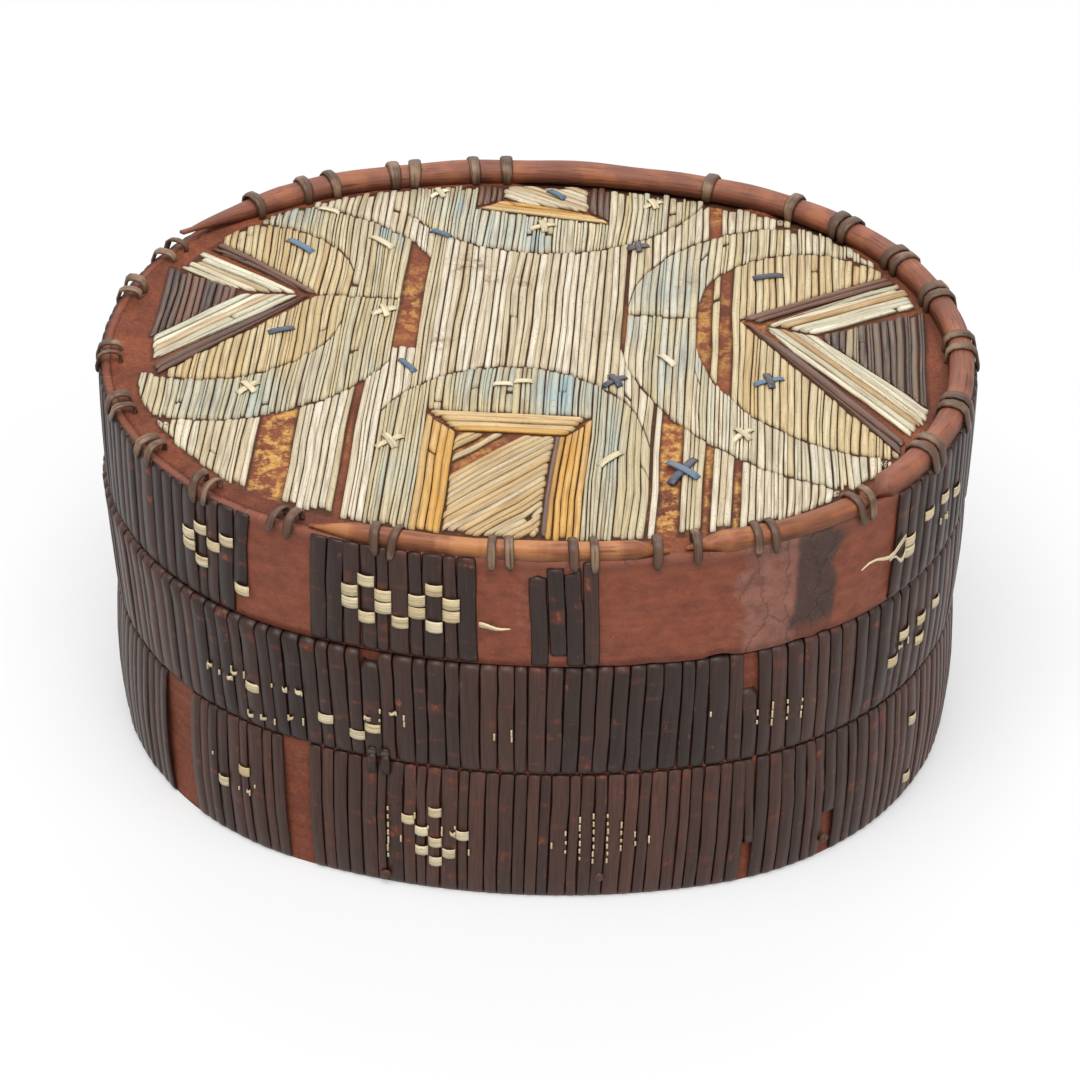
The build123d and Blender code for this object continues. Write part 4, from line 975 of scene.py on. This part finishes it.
class QUILLBOX_OT_root_strips(bpy.types.Operator):
    """Winds worn root strips round the two rings and the lid's band"""
    bl_idname = "quillbox.root_strips"
    bl_label = "Root Strips"

    def execute(self, context):
        template = rod(ROOT_STEPS)
        material = strip_material()
        for node, body, turned, tone in (
                ("lower_wraps", "box", False, 0.55), ("upper_wraps", "box", True, 0.2),
                ("lid_wraps", "lid", False, 0.12)):
            self.wind(node, body, turned, tone, template, material)
        return {"FINISHED"}

    def wind(self, node, body, turned, tone, template, material):
        """One winding, whose strips differ in width and colour."""
        thickness = bpy.context.scene.quill_box.strip_thickness
        rng = Random(node)
        strips = sorted((strip_place(solid) for solid in solids_of(node)), key=lambda strip: strip.start)
        for strip, after in zip(strips, strips[1:]):
            if after.start - strip.end < STRIP_GAP:
                joint = (strip.end + after.start) / 2 + rng.uniform(-0.7, 0.7) * MM
                strip.end, after.start = joint - HALF_JOINT, joint + HALF_JOINT
        for place, lowest, highest in TORN[ring_of(node)]:
            for strip in strips:
                if strip.start < place * MM < strip.end:
                    low, tall = strip.low, strip.high - strip.low
                    strip.low, strip.high = low + lowest * tall, low + highest * tall
                    strip.torn = (lowest > 0, highest < 1)
        shape = bmesh.new()
        for strip in strips:
            path = strip_path(strip, thickness, node, turned)
            shade = tone + 0.4 * noise.noise((strip.start / (35 * MM), strip.low * 90, 1.7))
            shade += rng.uniform(-0.25, 0.3)
            worn = rng.uniform(0.4, 1.0) if rng.random() < 0.55 else 0.15
            lay_strip(shape, template, strip, path, rng, min(1.0, max(0.0, shade)), worn, thickness)
        finish_piece(shape, node + "_strips", body, "root_strip", material, node)


class QUILLBOX_OT_woven_checks(bpy.types.Operator):
    """Weaves flattened quills over single strips and leaves loose quill ends"""
    bl_idname = "quillbox.woven_checks"
    bl_label = "Woven Checks"

    def execute(self, context):
        colours = context.scene.quill_box.colours
        template = rod(QUILL_STEPS)
        material = quill_material("woven quill", "#ecdcb9", "#dcc795", colours.gold, 0.45)
        for node, body in (
                ("lower_quill_checks", "box"), ("upper_quill_checks", "box"), ("lid_quill_checks", "lid")):
            rng = Random(node)
            shape = bmesh.new()
            solids = solids_of(node)
            for solid in solids:
                self.weave(shape, template, solid, rng, node)
            ring = ring_of(node)
            foot, seat = RING_HEIGHTS[ring][0], min(along_oval(p)[1] for solid in solids for p in solid)
            for distance, low, high in SLIVERS[ring]:
                level = foot + (low + high) / 2 * MM
                face = seat + swell(node, distance * MM, level) + PROUD
                self.seam(shape, template, distance * MM, face, level, (high - low) / 2 * MM, rng, node)
            finish_piece(shape, node + "_woven", body, "quill_ivory", material, node)
        return {"FINISHED"}

    def weave(self, shape, template, solid, rng, node):
        """What a CAD check becomes: a loose end, slivers in a joint, a worn quill or a whole one."""
        middle = middle_of(solid)
        distance, level = along_oval(middle)[0], middle.z
        face = min(along_oval(p)[1] for p in solid) + swell(node, distance, level) + PROUD
        flat = [Vector((gap, p.z - level)) for gap, p in zip(beside(distance, solid), solid)]
        wide = max(p.x for p in flat)
        tall = max(p.y for p in flat)
        if wide > TAIL_HALF:
            ends = sorted(flat, key=lambda p: p.x)
            slope = (ends[-1].y + ends[-3].y) / 2 / wide if tall > 0.85 * MM else 0.0
            self.tail(shape, template, distance, face, level, wide, slope, rng)
        elif wide < SLIVER_HALF:
            self.seam(shape, template, distance, face, level, tall, rng, node)
        elif self.worn(distance, level, node):
            self.fray(shape, template, distance, face, level, wide, tall, rng, node)
        else:
            span = (-OVERLAP * wide, OVERLAP * wide)
            self.bar(shape, template, distance, face, level, span, 1.08 * tall, 0.0, rng)

    def worn(self, distance, level, node):
        """Whether a woven quill is one of those that are worn to bits."""
        ring = ring_of(node)
        height = level - RING_HEIGHTS[ring][0]
        return any(abs(distance - s * MM) < WORN_REACH and abs(height - z * MM) < WORN_REACH
                   for s, z in WORN_CHECKS[ring])

    def fray(self, shape, template, distance, face, level, wide, tall, rng, node):
        """What is left of a worn quill: a ragged corner, and slivers in the joints beside the strip."""
        side = rng.choice((-1, 1))
        span = sorted((side * OVERLAP * wide, side * rng.uniform(0.1, 0.5) * wide))
        height = level + rng.uniform(-0.5, 0.5) * tall
        half, slope = rng.uniform(0.3, 0.6) * tall, rng.uniform(-0.5, 0.5)
        self.bar(shape, template, distance, face, height, span, half, slope, rng)
        for edge in (-OVERLAP * wide, OVERLAP * wide):
            self.seam(shape, template, distance + edge, face, level, tall * rng.uniform(0.6, 1.0), rng, node)

    def bar(self, shape, template, distance, face, level, span, half, slope, rng):
        """A quill that passes over a strip, with both ends tucked under its neighbours."""
        offset = rng.uniform(0, 1000)
        tilt = slope + rng.uniform(-0.05, 0.05)
        thick = 0.55 * MM
        tuck = (0.0, 0.5, 0.9, 1.0, 1.0, 0.9, 0.5, 0.0)

        def place(x, y, share):
            along = span[0] + (span[1] - span[0]) * share
            height = level + x * half * 0.94 + along * tilt
            reach = face - 0.25 * MM + thick * tuck[round(share * QUILL_STEPS)] + max(y, -0.3) * 0.22 * MM
            return at(distance + along, reach, height), (x * half / MM, along / MM, offset), 0.0, 0.15

        add_rod(shape, template, rng.random(), place)

    def tail(self, shape, template, distance, face, level, wide, slope, rng):
        """A loose quill end that runs out to a point on the bare bark."""
        offset = rng.uniform(0, 1000)
        point = 1 if distance < 50 * MM else 0
        bend = rng.uniform(0.7, 1.1) * MM * (1 - point) + 0.15 * MM

        def place(x, y, share):
            along = (share * 2 - 1) * wide
            half = 0.85 * MM * (1 - 0.9 * abs(share + point - 1) ** 1.5)
            height = level + x * half + along * slope + bend * sin(2.4 * pi * share)
            reach = face + 0.2 * MM + y * 0.22 * MM + 0.5 * MM * sin(pi * share)
            return at(distance + along, reach, height), (x * half / MM, along / MM, offset), 0.0, 0.1

        add_rod(shape, template, 0.3, place)

    def seam(self, shape, template, distance, face, level, tall, rng, node):
        """Bits of quill that show in the joint between two strips."""
        count = max(1, round(tall * 2 / SLIVER_PITCH))
        for i in range(count):
            centre = level - tall + (i + 0.5) * 2 * tall / count
            half = rng.uniform(0.35, 1.1) * MM
            aside = rng.uniform(-0.12, 0.12) * MM
            seat = face - swell(node, distance, level) + swell(node, distance, centre)

            def place(x, y, share, centre=centre, half=half, seat=seat, aside=aside):
                height = centre + (share - 0.5) * 2 * half
                spot = at(distance + aside + x * 0.24 * MM, seat + y * 0.2 * MM, height)
                return spot, (x, share, 3.0), 0.0, 0.2

            add_rod(shape, template, rng.random(), place)


class QUILLBOX_OT_rim_hoop(bpy.types.Operator):
    """Makes the split half-round hoop and the two thinner splints on the lid's rim"""
    bl_idname = "quillbox.rim_hoop"
    bl_label = "Rim Hoop"

    def execute(self, context):
        colours = context.scene.quill_box.colours
        hoop = wood_material("split hoop with its bark", colours.hoop, "#472b22", "#945b3c", 0.5)
        splint = wood_material("peeled splint", colours.splint, "#55301b", "#ad7446", 0.45)
        self.split_rod("rim_hoop", hoop, start_taper=4 * MM, end_taper=34 * MM, tone=0.55, spring=3.2 * MM)
        self.split_rod("rim_splint_right", splint, start_taper=9 * MM, end_taper=6 * MM, tone=0.8)
        self.split_rod("rim_splint_front", splint, start_taper=12 * MM, end_taper=8 * MM, tone=0.8)
        return {"FINISHED"}

    def split_rod(self, node, material, start_taper, end_taper, tone, spring=0.0):
        """A half-round rod over a CAD rod's run, uneven and tapered; its far end may spring up."""
        wave = bpy.context.scene.quill_box.hoop_wave
        points = [along_oval(v.co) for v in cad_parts[node].data.vertices]
        runs = sorted(distance for distance, _ in points)
        if runs[-1] - runs[0] > PERIMETER * 0.6:
            runs = sorted(distance % PERIMETER for distance, _ in points)
        start, end = runs[0], runs[-1]
        outer = max(offset for _, offset in points)
        inner = min(offset for _, offset in points)
        low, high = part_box(node)[0].z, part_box(node)[1].z
        half, middle = (outer - inner) / 2, (outer + inner) / 2
        outline = []
        for angle in range(0, 181, 20):
            across, up = cos(radians(angle)), sin(radians(angle))
            flank = 1.0 if up < 0.1 else 0.99
            outline.append((middle + half * across * flank, low + (high - low) * up ** 0.45))
        outline += [(inner + 0.2 * MM, low), (outer - 0.2 * MM, low)]
        shape = bmesh.new()
        sweep(shape, outline, start, end, HOOP_STEP)
        grain, tones, _, dirt_and_shade = with_layers(shape)
        for vert in shape.verts:
            distance, offset = along_oval(vert.co)
            rise = vert.co.z - low
            run = distance % PERIMETER if start >= 0 else distance
            first, last = (run - start) / start_taper, (end - run) / end_taper
            taper = max(0.12, min(1.0, first, last)) ** 0.7
            s = run / MM
            sprung = spring * max(0.0, 1.0 - last) ** 2
            lift = wave * noise.noise((s / 26, 3.3, 0)) * min(1.0, rise / (high - low) + 0.3)
            shift = wave * noise.noise((s / 31, 8.8, 0))
            broad = (offset - middle) * taper * (1 + 0.1 * noise.noise((s / 13, 1.1, 0)))
            reach = middle + broad + shift * 0.5
            height = low + max(0.0, rise * taper * (1 + 0.1 * noise.noise((s / 17, 5.5, 0))) + lift * 0.4)
            vert[grain] = (offset / MM * 1.3 + height / MM, s, 0.0)
            vert[tones] = tone
            tip = 1 - min(1.0, first, last)
            vert[dirt_and_shade] = 0.7 * max(0.0, noise.noise((s / 21, 2.0, 0)) - 0.25) + 0.25 * tip
            vert.co = at(run, reach + 0.6 * sprung, height + sprung)
        finish_piece(shape, node + "_split", "lid", "hoop_wood", material, node)


class QUILLBOX_OT_lashings(bpy.types.Operator):
    """Ties split-root straps over the rim, and leaves loose loops where the hoop is lost"""
    bl_idname = "quillbox.lashings"
    bl_label = "Lashings"

    def execute(self, context):
        colours = context.scene.quill_box.colours
        template = rod(ROOT_STEPS)
        material = wood_material("split root lashing", colours.lashing, "#33241d", "#8b7159", 0.42)
        for node in ("rim_lashings", "loose_lashings"):
            rng = Random(node)
            shape = bmesh.new()
            for solid in solids_of(node):
                self.strap(shape, template, solid, rng, node == "loose_lashings")
            finish_piece(shape, node + "_straps", "lid", "root_lashing", material, node)
        self.lap_stitches(template, material)
        return {"FINISHED"}

    def strap(self, shape, template, solid, rng, loose):
        """A flat strap over the rim that hugs what it holds; a loose one stands up in an empty loop."""
        thick = bpy.context.scene.quill_box.lash_thickness
        distance, _ = along_oval(middle_of(solid))
        wide = max(abs(gap) for gap in beside(distance, solid)) * rng.uniform(0.9, 1.08)
        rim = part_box("rim_hoop")[0].z
        inner = min(along_oval(p)[1] for p in solid) + LASH_WALL
        rise = rng.uniform(1.6, 3.2) * MM if loose else max(p.z for p in solid) - LASH_WALL - rim
        centre, half = (inner - BAND_SET) / 2, (-BAND_SET - inner) / 2
        low = rim - rng.uniform(1.6, 2.8) * MM
        away = thick / 2 + 0.1 * MM
        path = [(0.1 * MM, low), (0.3 * MM, low + 0.8 * MM), (0.25 * MM, rim - 0.4 * MM)]
        for turn in (20, 52, 90, 128, 160):
            arch = sin(radians(turn)) ** 0.45
            path.append((centre + (half + away) * cos(radians(turn)), rim + rise * arch + away))
        path += [(inner - away, rim + 0.2 * MM), (inner - 0.1 * MM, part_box("lid_disc")[1].z)]
        lean = rng.uniform(-2.2, 2.2) * MM
        twist = rng.uniform(-0.5, 0.5) if loose else 0.0
        offset = rng.uniform(0, 1000)

        def place(x, y, share):
            step = round(share * ROOT_STEPS)
            reach, height = path[step]
            normal = square_to(path, step)
            narrow = 0.55 + 0.45 * min(1.0, 4 * min(share, 1 - share))
            up = thick / 2 * sign(y) * abs(y) ** 0.6 + x * wide * twist * sin(pi * share)
            along = x * wide * narrow + lean * (share - 0.5)
            spot = at(distance + along, reach + normal.x * up, height + normal.y * up)
            # painted shade: darker at both ends, where the strap goes under, and along its edges
            dirt_and_shade = max(0.7 * max(0.0, 1 - 6 * min(share, 1 - share)), 0.6 if abs(x) > 0.9 else 0.0)
            return spot, (x * wide / MM, share * 20, offset), 0.0, dirt_and_shade

        add_rod(shape, template, rng.uniform(0.4, 1.0), place)

    def lap_stitches(self, template, material):
        """The stitches down the lap of the collar, inside the box."""
        rng = Random("lap")
        shape = bmesh.new()
        bow = (-0.3, 0.1, 0.3, 0.35, 0.35, 0.35, 0.35, 0.3, 0.1, -0.3)
        for solid in solids_of("collar_stitches"):
            distance, offset = along_oval(middle_of(solid))
            low, high = min(p.z for p in solid), max(p.z for p in solid)

            def place(x, y, share, distance=distance, offset=offset, low=low, high=high):
                reach = offset - bow[round(share * ROOT_STEPS)] * MM + y * 0.3 * MM
                spot = at(distance + x * 0.7 * MM, reach, low + (high - low) * share)
                return spot, (x, share * 6, 1.0), 0.0, 0.1

            add_rod(shape, template, rng.random(), place)
        finish_piece(shape, "collar_stitches_roots", "box", "root_lashing", material, "collar_stitches")


class QUILLBOX_OT_quill_fields(bpy.types.Operator):
    """Lays rounded quills over every field of the lid's mosaic"""
    bl_idname = "quillbox.quill_fields"
    bl_label = "Quill Fields"

    def execute(self, context):
        colours = context.scene.quill_box.colours
        template = rod(QUILL_STEPS)
        arrow = quill_material("striped arrow quill", "#e2d8bd", "#b7bba6", "#a9792e", 0.45)
        materials = {
            "quill_ivory": quill_material("undyed quill", colours.ivory, "#bbad8c", "#bb9c6a", 0.5),
            "quill_blue": quill_material("faded blue quill", "#d7cdb5", "#b9aa82", colours.blue, 0.5),
            "quill_gold": quill_material("yellow quill", colours.gold, "#baa477", colours.ochre, 0.45),
            "quill_dark": quill_material("dark quill", colours.dark, "#6a4436", "#231b1e", 0.42),
            "right_core": quill_material("dark and ivory quill", colours.dark, "#b5a584", "#231b1e", 0.42),
            "front_frame_line": quill_material(
                "dark quill beside a yellow one", "#43323a", colours.ochre, colours.dark, 0.45),
            "left_chevron": arrow,
            "right_chevron": arrow,
        }
        for slot, nodes in FIELDS.items():
            for node in nodes:
                self.lay_field(node, slot, template, materials.get(node, materials[slot]))
        return {"FINISHED"}

    def lay_field(self, node, slot, template, material):
        """One field, whose quills differ in colour and are split or broken here and there."""
        rng = Random(node)
        shape = bmesh.new()
        for solid in solids_of(node):
            if slot == "quill_blue":
                tint_at = blue_tint(rng)
            else:
                level = rng.choice(TINTS.get(node, PLAIN_TINTS))
                tint_at = lambda x, y, level=level: level
            straw = STRAW.get(node, 0.0)
            tone = straw + (1.0 - straw) * rng.random() ** 1.5
            if node == "right_core":
                tone = rng.choice((0.0, 0.1, 0.15, 0.9))
            corners = quill_ends(solid)
            if node.startswith("right_chevron"):
                corners = self.reach_rim(corners)
            if node == "front_frame_line":
                near, far = corners[0].lerp(corners[1], LINE_SHARE), corners[2].lerp(corners[3], LINE_SHARE)
                lay_quill(shape, template, (near, corners[1], far, corners[3]), rng, 0.9, tint_at, 0.0)
                corners, tone = (corners[0], near, corners[2], far), 0.0
            lay_quill(shape, template, corners, rng, tone, tint_at, SPLIT.get(node, PLAIN_SPLIT))
        finish_piece(shape, node + "_quills", "lid", slot, material, node)

    def reach_rim(self, corners):
        """A quill's corners with its rim end drawn out to the hoop."""
        near, far = list(corners[:2]), list(corners[2:])
        grown, other = (far, near) if middle_of(far).x > middle_of(near).x else (near, far)
        for index, (end, root) in enumerate(zip(grown, other)):
            room = HOOP_SIDE - along_oval(end)[1]
            grown[index] = end + (end - root).normalized() * max(0.0, min(6 * MM, room))
        return (*near, *far)


class QUILLBOX_OT_stitches(bpy.types.Operator):
    """Lays bars and crosses of flattened quill over the mosaic"""
    bl_idname = "quillbox.stitches"
    bl_label = "Stitches"

    def execute(self, context):
        colours = context.scene.quill_box.colours
        template = rod(QUILL_STEPS)
        blue = quill_material("deep blue quill", colours.stitch, "#1b2b3f", "#4c7692", 0.4)
        ivory = quill_material("flat ivory quill", "#ebe0c4", "#d8c7a0", colours.gold, 0.5)
        for node, slot, material, bars, crosses in (
                ("blue_stitches", "stitch_blue", blue, BLUE_BARS, BLUE_CROSSES),
                ("ivory_stitches", "quill_ivory", ivory, IVORY_BARS, IVORY_CROSSES)):
            rng = Random(node)
            shape = bmesh.new()
            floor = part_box(node)[0].z
            for bar in bars:
                self.bar(shape, template, *bar, floor, rng)
            for x, y, turn, length in crosses:
                self.bar(shape, template, x, y, turn, length, floor, rng)
                self.bar(shape, template, x, y, turn + CROSS_TURN, length * 0.8, floor + 0.35 * MM, rng)
            finish_piece(shape, node + "_bars", "lid", slot, material, node)
        return {"FINISHED"}

    def bar(self, shape, template, x, y, turn, length, floor, rng):
        """A flat bar whose two ends go down between the quills."""
        run = Vector((cos(radians(turn)), sin(radians(turn)), 0))
        side = Vector((-run.y, run.x, 0))
        centre = Vector((x * MM, y * MM, floor))
        half, wide = length * MM / 2, (0.8 + 0.04 * length) * MM * rng.uniform(0.8, 1.0)
        bend = rng.uniform(-0.08, 0.08) * MM
        offset = rng.uniform(0, 1000)
        dips = (-0.3, 0.14, 0.2, 0.22, 0.22, 0.2, 0.14, -0.3)
        tinted = rng.choice((0.0, 0.0, 0.5, 0.9))

        def place(u, v, share):
            along = (share * 2 - 1) * half
            point = centre + run * along + side * (u * wide + bend * (1 - (along / half) ** 2))
            point.z += dips[round(share * QUILL_STEPS)] * MM + v * 0.25 * MM
            return point, (u * wide / MM, along / MM, offset), tinted, 0.1

        add_rod(shape, template, rng.random(), place)


class QUILLBOX_OT_ties_and_knots(bpy.types.Operator):
    """Makes the two ties between the rings and the folded strip ends"""
    bl_idname = "quillbox.ties_and_knots"
    bl_label = "Ties and Knots"

    def execute(self, context):
        material = strip_material()
        template = rod(ROOT_STEPS)
        rng = Random("ties")
        shape = bmesh.new()
        thickness = 1 * MM
        for solid in solids_of("ring_tie"):
            strip = strip_place(solid)
            path = strip_path(strip, thickness, "lid_tie", False)
            lay_strip(shape, template, strip, path, rng, tone=0.1, tint=0.1, thickness=thickness)
        finish_piece(shape, "ring_tie_loops", "box", "root_strip", material, "ring_tie")
        knots = bmesh.new()
        with_layers(knots)
        for solid in solids_of("strip_knots"):
            heights = [p.z for p in solid]
            self.knot(knots, middle_of(solid), (max(heights) - min(heights)) / 2, rng)
        finish_piece(knots, "strip_knots_folded", "box", "root_strip", material, "strip_knots")
        return {"FINISHED"}

    def knot(self, shape, middle, radius, rng):
        """A crumpled lump of strip end."""
        distance, offset = along_oval(middle)
        made = bmesh.ops.create_icosphere(shape, subdivisions=2, radius=1)
        grain, tone, tint, _ = layers_of(shape)
        seed = rng.uniform(0, 100)
        for vert in made["verts"]:
            crumple = 1 + 0.45 * noise.noise(vert.co * 1.7 + Vector((seed, 0, 0)))
            x, y, z = vert.co * crumple
            vert[grain] = (x * 2, z * 2, seed)
            vert[tone] = 0.8
            vert[tint] = 1.0
            vert.co = at(distance + x * radius * 1.2, offset + y * radius * 0.6, middle.z + z * radius * 1.1)


class QUILLBOX_OT_stage(bpy.types.Operator):
    """Sets up the pale floor, the soft light and the camera"""
    bl_idname = "quillbox.stage"
    bl_label = "Stage"

    def execute(self, context):
        scene = context.scene
        scene.view_settings.view_transform = "Standard"
        self.floor(scene)
        self.light(scene)
        self.world(scene)
        self.camera(scene)
        return {"FINISHED"}

    def floor(self, scene):
        """A wide pale floor that looks white and keeps the box's shadow."""
        shape = bmesh.new()
        bmesh.ops.create_grid(shape, x_segments=1, y_segments=1, size=FLOOR_REACH)
        mesh = bpy.data.meshes.new("floor")
        shape.to_mesh(mesh)
        shape.free()
        floor = bpy.data.objects.new("floor", mesh)
        scene.collection.objects.link(floor)
        material, tree, shader = new_material("pale paper floor")
        glow = add(tree, "Math", {0: self.seen(tree), 1: FLOOR_GLOW}, operation="MULTIPLY")
        connect(tree, shader, {"Base Color": "#b4b4b4", "Roughness": 0.9, "Specular IOR Level": 0.0,
                               "Emission Color": WHITE, "Emission Strength": glow})
        mesh.materials.append(material)

    def seen(self, tree):
        """One for what the eye or a shiny or clear surface sees, and nought for the light on the box."""
        path = add(tree, "LightPath").outputs
        seen = add(tree, "Math", {0: path["Is Camera Ray"], 1: path["Is Glossy Ray"]}, operation="MAXIMUM")
        return add(tree, "Math", {0: seen, 1: path["Is Transmission Ray"]}, operation="MAXIMUM")

    def light(self, scene):
        """A large soft box overhead at the front left, a weaker one at the right and one behind."""
        for name, (place, size, power) in SOFTBOXES.items():
            lamp = bpy.data.lights.new(name, "AREA")
            lamp.size = size
            lamp.energy = power
            holder = bpy.data.objects.new(name, lamp)
            holder.location = place
            holder.rotation_mode = "QUATERNION"
            holder.rotation_quaternion = (Vector(LIT_POINT) - Vector(place)).to_track_quat("-Z", "Y")
            scene.collection.objects.link(holder)

    def world(self, scene):
        """White to the eye and to shiny surfaces, and an even soft light."""
        world = bpy.data.worlds.new("studio")
        scene.world = world
        world.use_nodes = True
        tree = world.node_tree
        strength = add(tree, "MapRange", {"Value": self.seen(tree), "To Min": SOFT_LIGHT})
        connect(tree, tree.nodes["Background"], {"Color": WHITE, "Strength": strength})

    def camera(self, scene):
        """The camera at the picture's place, slightly rolled."""
        data = bpy.data.cameras.new("camera")
        data.lens = CAMERA_LENS
        data.sensor_width = 36.0
        data.clip_start, data.clip_end = 0.01, 20.0
        camera = bpy.data.objects.new("camera", data)
        right, up = Vector(CAMERA_RIGHT), Vector(CAMERA_UP)
        turn = Matrix((right, up, right.cross(up))).transposed().to_4x4()
        camera.matrix_world = Matrix.Translation(Vector(CAMERA_PLACE) * MM) @ turn
        scene.collection.objects.link(camera)
        scene.camera = camera


OPERATORS = (
    QUILLBOX_OT_bark_parts, QUILLBOX_OT_lid_disc, QUILLBOX_OT_lid_band, QUILLBOX_OT_root_strips,
    QUILLBOX_OT_woven_checks, QUILLBOX_OT_rim_hoop, QUILLBOX_OT_lashings, QUILLBOX_OT_quill_fields,
    QUILLBOX_OT_stitches, QUILLBOX_OT_ties_and_knots, QUILLBOX_OT_stage,
)


class QUILLBOX_PT_panel(bpy.types.Panel):
    """Lists the box's pieces"""
    bl_idname = "QUILLBOX_PT_panel"
    bl_label = "Quill Box"
    bl_space_type = "VIEW_3D"
    bl_region_type = "UI"
    bl_category = "Quill Box"

    def draw(self, context):
        for operator in OPERATORS:
            self.layout.operator(operator.bl_idname)


CLASSES = (QuillBoxColours, QuillBoxSizes, *OPERATORS, QUILLBOX_PT_panel)


def register():
    for cls in CLASSES:
        bpy.utils.register_class(cls)
    bpy.types.Scene.quill_box = PointerProperty(type=QuillBoxSizes)


def unregister():
    del bpy.types.Scene.quill_box
    for cls in reversed(CLASSES):
        bpy.utils.unregister_class(cls)


def main():
    register()
    for operator in OPERATORS:
        group, name = operator.bl_idname.split(".")
        getattr(getattr(bpy.ops, group), name)()


if __name__ == "__main__":
    main()
